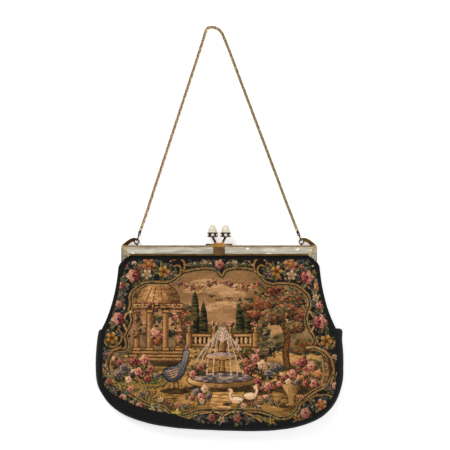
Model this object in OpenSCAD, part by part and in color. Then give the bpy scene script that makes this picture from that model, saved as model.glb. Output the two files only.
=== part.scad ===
// Petit point evening purse with a hinged kiss-lock frame and a link chain.
// It lies on its back: X runs across the bag, Y from its bottom to the clasp, Z up from the table.
// Lengths are in millimetres. A drop is a distance below the top edge of the frame.

/* [Bag] */
// Width of the bag where it is widest, over the gusset
bag_w = 204; // [180:1:240]
// Drop of the bottom of the bag
bag_drop = 152.5; // [140:0.5:180]
// Drop of the widest place
widest_drop = 98; // [90:1:110]
// Drop of the shoulders, where the gusset comes out between the panels
shoulder_drop = 70; // [64:1:78]
// Width of the panels at the shoulders
shoulder_w = 194; // [180:1:196]
// Squareness of the bottom corners, 2 is an ellipse
bottom_power = 3; // [2:0.1:4]
// How much lower the bottom hangs towards the right, as a slope
bottom_tilt = 0.045; // [0:0.005:0.06]
// Height of the front panel over the table where the bag is fullest
bag_h = 30; // [26:0.5:40]
// Height of the seam of the front panel over the table
seam_h = 19; // [16:0.5:24]
// Thickness of the two panels
panel_t = 1.4; // [1:0.1:2]
// Thickness of the gusset
gusset_t = 1.2; // [0.8:0.1:2]
// How far the gusset stands out past the panels
gusset_out = 2.2; // [1:0.1:4]
// Thickness of the lining
lining_t = 0.6; // [0.4:0.1:1]

/* [Frame] */
// Width of the frame
frame_w = 161; // [150:1:170]
// Height of the top bar
bar_h = 8.4; // [7.6:0.1:11]
// Depth of one half of the frame
half_d = 7; // [7:0.1:10]
// Sheet thickness of the walls
wall_t = 1.2; // [0.8:0.1:1.4]
// Thickness of the face that carries the inlay
face_t = 1.4; // [1.2:0.1:1.6]
// Height of the rail over the inlay
top_rail = 1.6; // [1:0.1:2]
// Height of the rail under the inlay
bottom_rail = 1.2; // [1:0.1:3]
// Width of the arm faces at the corners
arm_w = 6.2; // [5:0.1:8]
// Drop of the outer end of the arm faces
arm_drop = 13.5; // [12:0.1:16]
// Drop of the hinge pins
hinge_drop = 44; // [40:0.5:48]
// Radius of the hinge pins
pin_r = 1; // [0.8:0.05:1.2]
// Radius of the hinge eyes
hinge_eye_r = 3; // [2.6:0.1:3.2]

/* [Inlay] */
// Thickness of the mother-of-pearl plates
inlay_t = 1; // [0.8:0.1:1.4]
// Depth of the pockets for the plates
pocket_t = 0.7; // [0.4:0.05:0.8]
// Width across the strips at the mitred corners
mitre_w = 2; // [1:0.1:3]

/* [Clasp] */
// Rise of the tips of the knobs over the frame
knob_rise = 17.3; // [16:0.1:20]
// Distance between the two knobs
knob_apart = 10.9; // [10.4:0.1:14]
// Width of the pearls
pearl_w = 6.8; // [5:0.1:6.9]
// Width of the collars under the pearls
collar_w = 9; // [8.8:0.1:9.4]
// Height of the collars
collar_h = 4.2; // [4:0.1:5]
// Number of stones in a collar
stone_count = 6; // [5:1:7]
// Radius of a stone
stone_r = 1.25; // [0.8:0.05:1.3]
// Length of the feet on the top bar
foot_w = 22; // [16:0.5:30]
// Thickness of the feet
foot_t = 1.2; // [1:0.1:2.4]
// Rise of the saddle in the middle of the front foot
saddle_rise = 1.9; // [1.6:0.1:3]
// Width of the tongue over the middle of the front bar
tongue_w = 9.2; // [6:0.1:14]
// Radius of the stems
stem_r = 0.95; // [0.6:0.05:1.1]

/* [Ears] */
// Distance of the eyes from the sides of the frame
ear_in = 12.4; // [11:0.1:20]
// Rise of the middle of the eyes over the frame
ear_rise = 3; // [2.6:0.1:4]
// Thickness of the ears
ear_t = 1.6; // [1.2:0.1:1.7]
// Radius of the holes of the eyes
ear_hole_r = 1.35; // [1.3:0.05:1.5]
// Width of the rim around the holes
ear_rim = 1.05; // [0.8:0.05:1.1]

/* [Chain] */
// Width and thickness of the flat wire of a chain link
link_wire = 0.6; // [0.5:0.05:0.65]
// Distance from link to link
link_pitch = 2.75; // [2.6:0.05:3.2]
// Width of a link from middle to middle of its wire
link_w = 1.8; // [1.7:0.05:2]
// Wire of the rings that hold the chain
ring_wire = 1; // [0.6:0.05:1]
// Lean of the left end of the chain
lean_left = 18; // [12:1:24]
// Lean of the right end of the chain
lean_right = 21; // [14:1:26]

/* [Hidden] */
$fn = 48;

// Colours of the materials
gold = [0.72, 0.53, 0.25];
bronze = [0.42, 0.30, 0.16];
pearl = [0.84, 0.82, 0.77];
black = [0.10, 0.10, 0.11];
stitched = [0.20, 0.17, 0.14];
satin = [0.62, 0.56, 0.44];
crystal = [0.90, 0.93, 0.96];

// Heights of the frame halves over the table
frame_lift = 0.4;
parting = 0.2;
parting_z = frame_lift + half_d + parting / 2;
rear_top_z = parting_z - parting / 2;
front_low_z = parting_z + parting / 2;
front_z = front_low_z + half_d;
arm_d = 3;

// Middle of the purse without its chain in Y
top_y = (bag_drop - knob_rise) / 2;

// Places of the panels in the channels of the frame
channel_gap = 0.3;
tuck = 3;
front_tuck_z = front_z - face_t - channel_gap;
rear_tuck_z = frame_lift + face_t + channel_gap;
tuck_x = frame_w / 2 - arm_w - 0.6;
rise_drop = bar_h + 3.8;
full_drop = widest_drop - 8;
layer_gap = 0.4;
panel_drop = bag_drop - gusset_out;

// Edge of a panel on the right, from the frame to the middle of the bottom
corner = [frame_w / 2 + 0.7, -arm_drop - 1.2];
neck = [frame_w / 2 + 2.4, -arm_drop - 4.2];
shoulder = [shoulder_w / 2, -shoulder_drop];
widest = [bag_w / 2 - gusset_out, -widest_drop];
flare = [neck,
         neck + [0.12 * (shoulder.x - neck.x), 0.4 * (shoulder.y - neck.y)],
         neck + [0.45 * (shoulder.x - neck.x), 0.72 * (shoulder.y - neck.y)],
         shoulder];
side = [shoulder,
        shoulder + [0.7 * (widest.x - shoulder.x), 0.25 * (widest.y - shoulder.y)],
        [widest.x, widest.y + 0.36 * (shoulder.y - widest.y)],
        widest];
function bezier(p, t) = pow(1 - t, 3) * p[0] + 3 * t * pow(1 - t, 2) * p[1]
                      + 3 * t * t * (1 - t) * p[2] + t * t * t * p[3];
function bottom(a) = [widest.x * pow(cos(a), 2 / bottom_power),
                      widest.y - (panel_drop - widest_drop) * pow(sin(a), 2 / bottom_power)];
flare_edge = [for (i = [0 : 10]) bezier(flare, i / 10)];
side_edge = [for (i = [1 : 5]) bezier(side, i / 5)];
bottom_edge = concat([for (i = [1 : 11]) bottom(i * 7.5)], [[0, -panel_drop]]);
right_edge = concat([[tuck_x, -tuck], [tuck_x, -bar_h - 1], corner], flare_edge, side_edge, bottom_edge);
left_edge = [for (i = [len(right_edge) - 2 : -1 : 0]) [-right_edge[i].x, right_edge[i].y]];
tucked_edge = [for (i = [1 : 11]) [tuck_x * (i - 6) / 6, -tuck]];
panel_loop = concat(right_edge, left_edge, tucked_edge);
half_w_by_drop = [for (p = right_edge) [-p.y, p.x]];

// Slant of the cloth below the widest place, with the lowest point kept at the drop of the bottom
function ease(t) = let (c = max(0, min(1, t))) c * c * (3 - 2 * c);
tilt_rise = max([for (p = bottom_edge) bottom_tilt * p.x - p.y]) - panel_drop;
function slant(p) = (bottom_tilt * p.x - tilt_rise) * ease((-p.y - widest_drop) / (panel_drop - widest_drop));
function hung(p) = p - (len(p) == 2 ? [0, slant(p)] : [0, slant(p), 0]);

// Edge of the lining, inside the panels
lining_top = 0.9;
lining_low = 0.95;
lining_wide = 12;
function lining_in(drop) = 0.9 + 0.065 * max(0, min(1, (drop - shoulder_drop - 2) / lining_wide));
function lining_y(y) = -full_drop + (y + full_drop) * (y > -full_drop ? lining_top : lining_low);
lining_loop = [for (p = panel_loop) [p.x * lining_in(-p.y), lining_y(p.y)]];

// Height of the front panel over the table
function seam_z(drop) = front_tuck_z
  + (seam_h - front_tuck_z) * ease((drop - rise_drop) / (shoulder_drop - rise_drop));
function crown(drop) = (bag_h - seam_h) * ease((drop - rise_drop) / (full_drop - rise_drop))
  * (1 - pow(max(0, (drop - full_drop) / (panel_drop - full_drop)), 3));
function across(x, drop) = min(1, abs(x) / max(1, lookup(drop, half_w_by_drop)));
function front_h(p) = seam_z(-p.y) + crown(-p.y) * (1 - pow(across(p.x, -p.y), 2.5));
function lining_h(p) = front_h(p) - panel_t - layer_gap;

// Chain from the left eye over the table to the right eye
ring_r = 1.6;
ring_half = 1.3;
ring_in = 0.4;
ring_fall = 3;
loop_r = 0.95;
loop_wire = 0.64;
loop_x = ring_in + 2 * (ring_r + ring_half) - ring_wire / 2 - loop_wire / 2 - 0.1 + loop_r;
cap_start = loop_x + loop_r - 0.2;
cap_l = 2.2;
link_in = (link_w - link_wire) / 2;
link_out = (link_w + link_wire) / 2;
link_play = 0.45;
link_half = (link_pitch + link_play) / 2 - sqrt(link_in * link_in - link_wire * link_wire / 4);
chain_start = cap_start + cap_l + 0.05 + link_half + link_out;
ear_x = frame_w / 2 - ear_in;
ear_z = frame_lift + 3;
chain_z = 1.1;
function lean(s) = s < 0 ? lean_left : lean_right;
function eye(s) = [s * ear_x, ear_rise, ear_z];
function lead(s) = [-s * sin(lean(s)) * cos(ring_fall), cos(lean(s)) * cos(ring_fall), -sin(ring_fall)];
bends = [[-60, 27, 1.9], [-55, 42.5, chain_z], [-45, 73, chain_z], [-35, 103.5, chain_z],
         [-25, 134, chain_z], [-17, 158.5, chain_z], [-13.6, 169, chain_z], [-11.5, 175.4, chain_z],
         [-10.4, 177.6, chain_z], [-8.8, 179.2, chain_z], [-6.6, 180.3, chain_z], [-4.3, 180.7, chain_z],
         [-2, 180.3, chain_z], [0.2, 179.2, chain_z], [1.8, 177.6, chain_z], [2.9, 175.5, chain_z],
         [5.3, 169, chain_z], [9, 159.5, chain_z], [18, 135.5, chain_z], [28, 109, chain_z],
         [38, 82.5, chain_z], [48, 56, chain_z], [54.5, 38.5, chain_z], [59.5, 25.5, 1.9]];
bends_ear_x = 68.1;
route = concat([eye(-1) + chain_start * lead(-1)],
               [for (b = bends) [b.x * ear_x / bends_ear_x, b.y, b.z]],
               [eye(1) + chain_start * lead(1)]);
last = len(route) - 1;
function spline(a, b, c, d, t) = 0.5 * (2 * b + (c - a) * t + (2 * a - 5 * b + 4 * c - d) * t * t
                                        + (3 * b - a - 3 * c + d) * t * t * t);
before = 2 * route[0] - route[1];
after = 2 * route[last] - route[last - 1];
curve = concat([for (i = [0 : last - 1]) for (j = [0 : 11])
                  spline(i == 0 ? before : route[i - 1], route[i], route[i + 1],
                         i == last - 1 ? after : route[i + 2], j / 12)],
               [route[last]]);
function run(p, i = 0, sum = 0, out = []) = i == len(p) ? out
  : run(p, i + 1, i + 1 == len(p) ? sum : sum + norm(p[i + 1] - p[i]), concat(out, [sum]));
runs = run(curve);
chain_l = runs[len(runs) - 1];
link_count = floor(chain_l / link_pitch);
along_x = [for (i = [0 : len(curve) - 1]) [runs[i], curve[i].x]];
along_y = [for (i = [0 : len(curve) - 1]) [runs[i], curve[i].y]];
along_z = [for (i = [0 : len(curve) - 1]) [runs[i], curve[i].z]];
function on_chain(s) = [lookup(s, along_x), lookup(s, along_y), lookup(s, along_z)];

// Moves a piece from the top edge of the frame to its place
module placed() {
  translate([0, top_y, 0]) children();
}

// Turns a piece that points along X to a direction
module pointed(at, dir, roll) {
  elevation = atan2(dir.z, norm([dir.x, dir.y]));
  translate(at) rotate([roll, -elevation, atan2(dir.y, dir.x)]) children();
}

// Round rod from one point to another
module rod(from, to, r) {
  pointed(from, to - from, 0) rotate([0, 90, 0]) cylinder(r = r, h = norm(to - from));
}

// Profile in Y and Z carried along X
module along_width(x0, x1) {
  translate([x0, 0, 0]) rotate([90, 0, 90]) linear_extrude(height = x1 - x0) children();
}

// Flat bar of a box given by two corners
module block(a, b) {
  translate(a) cube(b - a);
}

// Arched sheet of cloth inside a loop
module arched_sheet(loop, height, thick) {
  n = len(loop);
  steps = [0.14, 0.28, 0.42, 0.55, 0.67, 0.77, 0.85, 0.91, 0.96, 1];
  m = len(steps);
  middle = [0, -full_drop];
  flat = concat([middle], [for (k = steps) for (p = loop) middle + k * (p - middle)]);
  upper = [for (p = flat) hung([p.x, p.y, height(p)])];
  lower = [for (p = upper) p - [0, 0, thick]];
  b = len(upper);
  rim = 1 + (m - 1) * n;
  fan = [for (i = [0 : n - 1]) [0, 1 + i, 1 + (i + 1) % n]];
  bands = [for (j = [0 : m - 2]) for (i = [0 : n - 1])
             let (a = 1 + j * n + i, c = 1 + j * n + (i + 1) % n) each [[a, a + n, c + n], [a, c + n, c]]];
  top_faces = concat(fan, bands);
  low_faces = [for (f = top_faces) [f[2] + b, f[1] + b, f[0] + b]];
  rim_faces = [for (i = [0 : n - 1]) let (a = rim + i, c = rim + (i + 1) % n)
                 each [[c, a, a + b], [c, a + b, c + b]]];
  polyhedron(points = concat(upper, lower), faces = concat(top_faces, low_faces, rim_faces));
}

// Front panel of petit point embroidery
module front_panel() {
  color(stitched) placed() arched_sheet(panel_loop, function (p) front_h(p), panel_t);
}

// Lining behind the front panel
module front_lining() {
  color(satin) placed() arched_sheet(lining_loop, function (p) lining_h(p), lining_t);
}

// Flat sheet that ramps up into the channel of the rear frame
module flat_sheet(loop, low_z, tuck_z, thick) {
  ramp_start = -bar_h - 13.8;
  ramp_end = -bar_h - 1;
  hung_loop = [for (p = loop) hung(p)];
  linear_extrude(height = thick + low_z) intersection() {
    polygon(hung_loop);
    translate([-bag_w, ramp_start - 2 * bag_drop]) square([2 * bag_w, 2 * bag_drop]);
  }
  intersection() {
    linear_extrude(height = 20) polygon(hung_loop);
    along_width(-bag_w, bag_w) polygon([[ramp_start, 0], [ramp_end, tuck_z], [0, tuck_z],
                                        [0, tuck_z + thick], [ramp_end, tuck_z + thick],
                                        [ramp_start, low_z + thick]]);
  }
}

// Back panel, flat on the table
module back_panel() {
  color(black) placed() flat_sheet(panel_loop, 0, rear_tuck_z, panel_t);
}

// Lining on the back panel
module back_lining() {
  color(satin) placed() translate([0, 0, panel_t + layer_gap])
    flat_sheet(lining_loop, 0, rear_tuck_z, lining_t);
}

// Gusset strip from hinge to hinge, folded in between the panels above the shoulders
module gusset() {
  start_drop = hinge_drop + 6;
  half_path = [for (p = right_edge) if (-p.y > start_drop) p];
  count = len(half_path);
  path = concat(half_path, [for (i = [count - 2 : -1 : 0]) [-half_path[i].x, half_path[i].y]]);
  n = len(path);
  m = 6;
  points = [for (i = [0 : n - 1]) for (inner = [0, 1]) for (j = [0 : m])
    let (p = path[i],
         way = path[min(n - 1, i + 1)] - path[max(0, i - 1)],
         out = [-way.y, way.x] / norm(way),
         free = ease((-p.y - shoulder_drop + 5) / 6),
         base = -4 + 3.6 * free,
         bow = -3 + (3 + gusset_out + 0.4) * free,
         z0 = panel_t + 0.3,
         z1 = seam_z(-p.y) - panel_t - 0.3,
         q = p + out * (base + bow * sin(180 * j / m) - inner * gusset_t))
    hung([q.x, q.y, z0 + (z1 - z0) * j / m])];
  function at(i, inner, j) = i * 2 * (m + 1) + inner * (m + 1) + j;
  function pair(a, b, c, d) = [[a, b, c], [a, c, d]];
  skins = [for (i = [0 : n - 2]) for (j = [0 : m - 1])
    each concat(pair(at(i, 0, j), at(i + 1, 0, j), at(i + 1, 0, j + 1), at(i, 0, j + 1)),
                pair(at(i, 1, j + 1), at(i + 1, 1, j + 1), at(i + 1, 1, j), at(i, 1, j)))];
  seams = [for (i = [0 : n - 2])
    each concat(pair(at(i, 0, 0), at(i, 1, 0), at(i + 1, 1, 0), at(i + 1, 0, 0)),
                pair(at(i, 0, m), at(i + 1, 0, m), at(i + 1, 1, m), at(i, 1, m)))];
  ends = [for (j = [0 : m - 1])
    each concat(pair(at(0, 0, j), at(0, 0, j + 1), at(0, 1, j + 1), at(0, 1, j)),
                pair(at(n - 1, 0, j), at(n - 1, 1, j), at(n - 1, 1, j + 1), at(n - 1, 0, j + 1)))];
  color(black) placed() polyhedron(points = points, faces = concat(skins, seams, ends));
}

// Line of the mitred corner, X at a height Y
function mitre_x(y) = frame_w / 2 + y * arm_w / bar_h;

// Outline of a plate in the top bar on the right, with a gap around it
function bar_plate(gap) = let (y0 = -top_rail - gap, y1 = -bar_h + bottom_rail + gap, c = mitre_w / 2 + gap)
  [[tongue_w / 2 + gap, y0], [mitre_x(y0) - c, y0], [mitre_x(y1) - c, y1], [tongue_w / 2 + gap, y1]];

// Outline of a plate in the arm on the right, with a gap around it
function side_plate(gap) =
  let (x1 = frame_w / 2 - 0.25 - gap,
       x0 = frame_w / 2 - arm_w + 1.2 + gap,
       c = (mitre_w / 2 + gap) * bar_h / arm_w)
  [[x1, (x1 - frame_w / 2) * bar_h / arm_w - c], [x1, -arm_drop + 0.6 + gap],
   [x0, arm_end(x0) + 0.5 + gap], [x0, (x0 - frame_w / 2) * bar_h / arm_w - c]];

// Lower end of the arm face, Y at a width X
function arm_end(x) = -bar_h - 1 - (x - frame_w / 2 + arm_w) / arm_w * (arm_drop - bar_h - 1);

// Face of the top bar and the arms
module face_outline() {
  polygon([[-frame_w / 2, 0], [frame_w / 2, 0], [frame_w / 2, -arm_drop],
           [frame_w / 2 - arm_w, -bar_h - 1], [frame_w / 2 - arm_w, -bar_h],
           [-frame_w / 2 + arm_w, -bar_h], [-frame_w / 2 + arm_w, -bar_h - 1],
           [-frame_w / 2, -arm_drop]]);
}

// Top wall and the side walls of the upper arms, from one height to another
module channel_walls(z0, z1) {
  block([-frame_w / 2, -wall_t, z0], [frame_w / 2, 0, z1]);
  for (s = [-1, 1])
    block([s * (frame_w - wall_t) / 2 - wall_t / 2, -arm_drop + 0.6, z0],
          [s * (frame_w - wall_t) / 2 + wall_t / 2, 0, z1]);
}

// Edge of the front arms just under the front panel, from the arm face to near the hinge
function front_arm(t) = let (y = -arm_drop + 1 - t * (hinge_drop - arm_drop - 8))
  [y, front_h([frame_w / 2, min(y, -arm_drop - 1.5)]) - panel_t - 0.6];

// Front half of the frame with pockets for the plates
module front_frame() {
  eye_x = frame_w / 2 - wall_t;
  color(gold) placed() difference() {
    union() {
      translate([0, 0, front_z - face_t]) linear_extrude(height = face_t) face_outline();
      channel_walls(front_low_z, front_z - face_t / 2);
      for (s = [0, 1]) mirror([s, 0, 0]) along_width(eye_x, frame_w / 2) {
        polygon(concat([[-arm_drop + 1, front_low_z], [-hinge_drop, front_low_z],
                        [-hinge_drop, parting_z + 0.9 * hinge_eye_r]],
                       [for (i = [8 : -1 : 0]) front_arm(i / 8)]));
        translate([-hinge_drop, parting_z]) circle(r = hinge_eye_r);
      }
    }
    for (s = [0, 1]) mirror([s, 0, 0]) {
      translate([0, 0, front_z - pocket_t]) linear_extrude(height = 2) {
        polygon(bar_plate(0));
        polygon(side_plate(0));
      }
      translate([eye_x - 1, -hinge_drop, parting_z]) rotate([0, 90, 0])
        cylinder(r = pin_r + 0.05, h = wall_t + 2);
    }
  }
}

// Rear half of the frame, with eyes set inside those of the front half
module rear_frame() {
  eye_x = frame_w / 2 - 2 * wall_t - 0.15;
  wall_end = -hinge_drop + hinge_eye_r + 2.5;
  color(gold) placed() difference() {
    union() {
      translate([0, 0, frame_lift]) linear_extrude(height = face_t) face_outline();
      channel_walls(frame_lift + face_t / 2, rear_top_z);
      for (s = [0, 1]) mirror([s, 0, 0]) {
        along_width(frame_w / 2 - wall_t, frame_w / 2)
          polygon([[-arm_drop + 1, rear_tuck_z + panel_t + 0.5], [-bar_h - 13.8, panel_t + 0.6],
                   [wall_end, panel_t + 0.6], [wall_end, rear_top_z], [-arm_drop + 1, rear_top_z]]);
        block([eye_x, wall_end, rear_top_z - arm_d], [frame_w / 2 - wall_t / 2, wall_end + 6, rear_top_z]);
        along_width(eye_x, eye_x + wall_t) {
          polygon([[wall_end + 6, rear_top_z - arm_d], [-hinge_drop, rear_top_z - arm_d + 0.3],
                   [-hinge_drop, rear_top_z], [wall_end + 6, rear_top_z]]);
          translate([-hinge_drop, parting_z]) circle(r = hinge_eye_r);
        }
      }
    }
    for (s = [0, 1]) mirror([s, 0, 0])
      translate([eye_x - 1, -hinge_drop, parting_z]) rotate([0, 90, 0])
        cylinder(r = pin_r + 0.02, h = wall_t + 2);
  }
}

// Plate of mother-of-pearl seated in a pocket
module inlay(outline) {
  color(pearl) placed() translate([0, 0, front_z - pocket_t])
    linear_extrude(height = inlay_t) polygon(outline);
}
module left_bar_inlay() {
  mirror([1, 0, 0]) inlay(bar_plate(0.1));
}
module right_bar_inlay() {
  inlay(bar_plate(0.1));
}
module left_side_inlay() {
  mirror([1, 0, 0]) inlay(side_plate(0.1));
}
module right_side_inlay() {
  inlay(side_plate(0.1));
}

// Places of the knobs
collar_y = 6.4;
pearl_seat = collar_h - 1;
pearl_h = knob_rise - collar_y - pearl_seat;
function knob_z(s) = parting_z + s * 1;
function foot_z(s) = parting_z + s * half_d / 2;

// Turns a piece along Z to stand on the frame under a knob
module on_knob(s) {
  placed() translate([s * knob_apart / 2, collar_y, knob_z(s)]) rotate([-90, 0, 0]) children();
}

// Places for the stones around a collar
module around_collar() {
  for (i = [0 : stone_count - 1]) rotate([0, 0, 90 + i * 360 / stone_count])
    translate([collar_w / 2 - 0.55, 0, collar_h / 2]) rotate([0, 90, 0]) children();
}

// Cup with a seat for the pearl and bores for the stones
module collar() {
  difference() {
    rotate_extrude() polygon([[0, 0], [1.6, 0], [collar_w / 2, 0.5], [collar_w / 2, collar_h - 0.4],
                              [collar_w / 2 - 0.4, collar_h], [0, collar_h]]);
    translate([0, 0, pearl_seat]) cylinder(r = pearl_w / 2 + 0.1, h = collar_h);
    around_collar() cylinder(r = stone_r + 0.05, h = 3);
  }
}

// Foot, stem and collar of one knob, front is 1 and rear is -1
module clasp(s) {
  color(gold) {
    on_knob(s) collar();
    placed() {
      rod([s * 2.2, foot_t - 0.4, foot_z(s)],
          [s * (knob_apart / 2 - 0.1), collar_y + 0.4, knob_z(s)], stem_r);
      if (s > 0) {
        block([-foot_w / 2, 0, front_low_z], [foot_w / 2, foot_t, front_z - 0.4]);
        block([-tongue_w / 2 + 0.1, 0, front_low_z + 1], [tongue_w / 2 - 0.1, saddle_rise, front_z + 0.5]);
        block([-tongue_w / 2 + 0.1, -bar_h + bottom_rail, front_z],
              [tongue_w / 2 - 0.1, foot_t, front_z + 0.5]);
      } else {
        block([-foot_w / 2, 0, frame_lift + 0.4], [foot_w / 2, foot_t, rear_top_z]);
      }
    }
  }
}
module front_clasp() {
  clasp(1);
}
module rear_clasp() {
  clasp(-1);
}

// Cut stones in the bores of a collar
module stones(s) {
  color(crystal) on_knob(s) around_collar() {
    cylinder(r = stone_r, h = 0.6, $fn = 8);
    translate([0, 0, 0.6]) cylinder(r1 = stone_r, r2 = 0.5 * stone_r, h = 0.4, $fn = 8);
  }
}
module front_clasp_stones() {
  stones(1);
}
module rear_clasp_stones() {
  stones(-1);
}

// Egg-shaped pearl seated in a collar
pearl_foot = 0.6;
function egg(a) = [pearl_w / 2 * cos(a), pearl_foot + (pearl_h - pearl_foot) * sin(a)];
module pearl_bead(s) {
  color(pearl) on_knob(s) translate([0, 0, pearl_seat])
    rotate_extrude() polygon(concat([[0, 0], [0.46 * pearl_w, 0]], [for (i = [0 : 15]) egg(i * 6)]));
}
module front_clasp_pearl() {
  pearl_bead(1);
}
module rear_clasp_pearl() {
  pearl_bead(-1);
}

// Rivet through the eyes of both frame halves
module hinge_pin(s) {
  x0 = frame_w / 2 - 2 * wall_t - 0.15 - 0.6;
  x1 = frame_w / 2 + 0.6;
  color(bronze) placed() mirror([s < 0 ? 1 : 0, 0, 0])
    translate([0, -hinge_drop, parting_z]) rotate([0, 90, 0]) {
      translate([0, 0, x0]) cylinder(r = pin_r, h = x1 - x0);
      translate([0, 0, x0]) cylinder(r = 1.8 * pin_r, h = 0.5);
      translate([0, 0, x1 - 0.5]) cylinder(r = 1.8 * pin_r, h = 0.5);
    }
}
module left_hinge_pin() {
  hinge_pin(-1);
}
module right_hinge_pin() {
  hinge_pin(1);
}

// Openwork bracket from the corner of the frame to the eye for the chain
module ear(s) {
  rim_r = ear_hole_r + ear_rim;
  top = ear_rise + rim_r;
  outer = [[frame_w / 2 - 0.2, 0], [frame_w / 2 - 3.5, 0.6 * top],
           [ear_x + 3.9, 1.37 * top], [ear_x, top + 0.4]];
  inner = [[ear_x, ear_rise], [ear_x + 3.2, ear_rise + 0.4],
           [ear_x + 5, ear_rise - 0.6], [frame_w / 2 - 5.2, 0]];
  color(gold) placed() mirror([s < 0 ? 1 : 0, 0, 0]) translate([0, 0, ear_z - ear_t / 2])
    linear_extrude(height = ear_t) difference() {
      union() {
        polygon(concat([for (i = [0 : 12]) bezier(outer, i / 12)],
                       [for (i = [0 : 12]) bezier(inner, i / 12)]));
        translate([ear_x, ear_rise]) circle(r = rim_r);
        translate([ear_x - 1, 0]) square([2, ear_rise]);
      }
      translate([ear_x, ear_rise]) circle(r = ear_hole_r);
    }
}
module left_ear() {
  ear(-1);
}
module right_ear() {
  ear(1);
}

// Round-ended slot along X
module slot(r, half) {
  for (s = [-1, 1]) translate([s * half, 0]) circle(r = r);
  square([2 * half, 2 * r], center = true);
}

// Flat link of the chain
module chain_link() {
  translate([0, 0, -link_wire / 2]) linear_extrude(height = link_wire) difference() {
    slot(link_out, link_half);
    slot(link_in, link_half);
  }
}

// Closed wire ring with straight sides along X
module wire_link(wire, r, half) {
  for (end = [-1, 1]) translate([end * half, 0, 0]) rotate([0, 0, -end * 90])
    rotate_extrude(angle = 180) translate([r, 0]) circle(d = wire);
  for (s = [-1, 1]) translate([-half, s * r, 0]) rotate([0, 90, 0]) cylinder(d = wire, h = 2 * half);
}

// Long ring through the eye of an ear
module end_ring(s) {
  color(gold) placed() pointed(eye(s) + (ring_in + ring_r + ring_half) * lead(s), lead(s), 90)
    wire_link(ring_wire, ring_r, ring_half);
}
module left_end_ring() {
  end_ring(-1);
}
module right_end_ring() {
  end_ring(1);
}

// Cap on the end of the chain with a loop in the ring
module end_cap(s) {
  r = link_out;
  color(bronze) placed() pointed(eye(s), lead(s), 0) {
    translate([loop_x, 0, 0]) rotate_extrude() translate([loop_r, 0]) circle(d = loop_wire);
    translate([cap_start, 0, 0]) rotate([0, 90, 0]) rotate_extrude()
      polygon([[0, 0], [0.7 * r, 0], [r, 0.5], [r, cap_l - 0.3], [0.85 * r, cap_l], [0, cap_l]]);
  }
}
module left_end_cap() {
  end_cap(-1);
}
module right_end_cap() {
  end_cap(1);
}

// Chain of flat links, each turned across the one before
module chain() {
  color(gold) placed() for (i = [0 : link_count]) {
    s = i * chain_l / link_count;
    dir = on_chain(min(chain_l, s + 1)) - on_chain(max(0, s - 1));
    pointed(on_chain(s), dir, i % 2 == 0 ? 45 : -45) chain_link();
  }
}

front_panel();
back_panel();
gusset();
front_lining();
back_lining();
front_frame();
rear_frame();
left_bar_inlay();
right_bar_inlay();
left_side_inlay();
right_side_inlay();
front_clasp();
front_clasp_stones();
front_clasp_pearl();
rear_clasp();
rear_clasp_stones();
rear_clasp_pearl();
left_hinge_pin();
right_hinge_pin();
left_ear();
right_ear();
left_end_ring();
right_end_ring();
left_end_cap();
right_end_cap();
chain();
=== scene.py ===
import math

import bmesh
import bpy
import numpy as np
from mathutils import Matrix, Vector
from mathutils.geometry import delaunay_2d_cdt


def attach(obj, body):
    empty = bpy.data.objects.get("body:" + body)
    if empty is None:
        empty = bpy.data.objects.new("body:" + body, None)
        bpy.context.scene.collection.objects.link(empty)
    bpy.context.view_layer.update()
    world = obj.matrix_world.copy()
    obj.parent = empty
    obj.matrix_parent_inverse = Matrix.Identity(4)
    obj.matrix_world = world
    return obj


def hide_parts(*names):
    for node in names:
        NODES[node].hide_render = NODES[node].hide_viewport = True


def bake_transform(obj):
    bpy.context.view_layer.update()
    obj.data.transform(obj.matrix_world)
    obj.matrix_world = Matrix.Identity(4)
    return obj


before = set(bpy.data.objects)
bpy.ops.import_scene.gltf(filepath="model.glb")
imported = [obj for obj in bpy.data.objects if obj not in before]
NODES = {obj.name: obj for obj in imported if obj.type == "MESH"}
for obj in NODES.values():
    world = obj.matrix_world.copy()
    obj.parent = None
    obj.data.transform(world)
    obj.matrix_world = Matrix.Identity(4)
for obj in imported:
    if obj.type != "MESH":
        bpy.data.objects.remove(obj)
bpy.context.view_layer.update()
scene = bpy.context.scene
scene.view_settings.view_transform = "Standard"

# Sizes of the part, in millimetres
TOP_Y = 67.6
PX = 0.8226


# Camera straight over the purse, with a long lens
camera_data = bpy.data.cameras.new("camera")
camera_data.sensor_width = 36.0
camera_data.lens = 200.0
camera = bpy.data.objects.new("camera", camera_data)
camera.location = (0.0049, 0.0843, 2.0711)
scene.collection.objects.link(camera)
scene.camera = camera


def area_light(name, place, target, size, power, colour):
    data = bpy.data.lights.new(name, "AREA")
    data.size = size
    data.energy = power
    data.color = colour
    light = bpy.data.objects.new(name, data)
    light.location = place
    light.rotation_euler = (Vector(target) - Vector(place)).to_track_quat("-Z", "Y").to_euler()
    scene.collection.objects.link(light)


area_light("key", (-0.75, 0.95, 1.25), (0, 0.03, 0), 0.7, 15.0, (1.0, 0.97, 0.93))
area_light("fill", (0.95, -0.35, 1.15), (0, 0.03, 0), 0.9, 7.5, (0.97, 0.98, 1.0))
area_light("rim", (0.15, 1.25, 0.75), (0, 0.06, 0), 0.5, 5.0, (1.0, 0.98, 0.95))


# Node materials
def linear(c):
    c = np.asarray(c, float)
    return np.where(c <= 0.04045, c / 12.92, ((c + 0.055) / 1.055) ** 2.4)


def rgb(code):
    return tuple(int(code[i : i + 2], 16) / 255 for i in (1, 3, 5))


def rgba(code):
    return (*linear(rgb(code)), 1.0)


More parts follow.
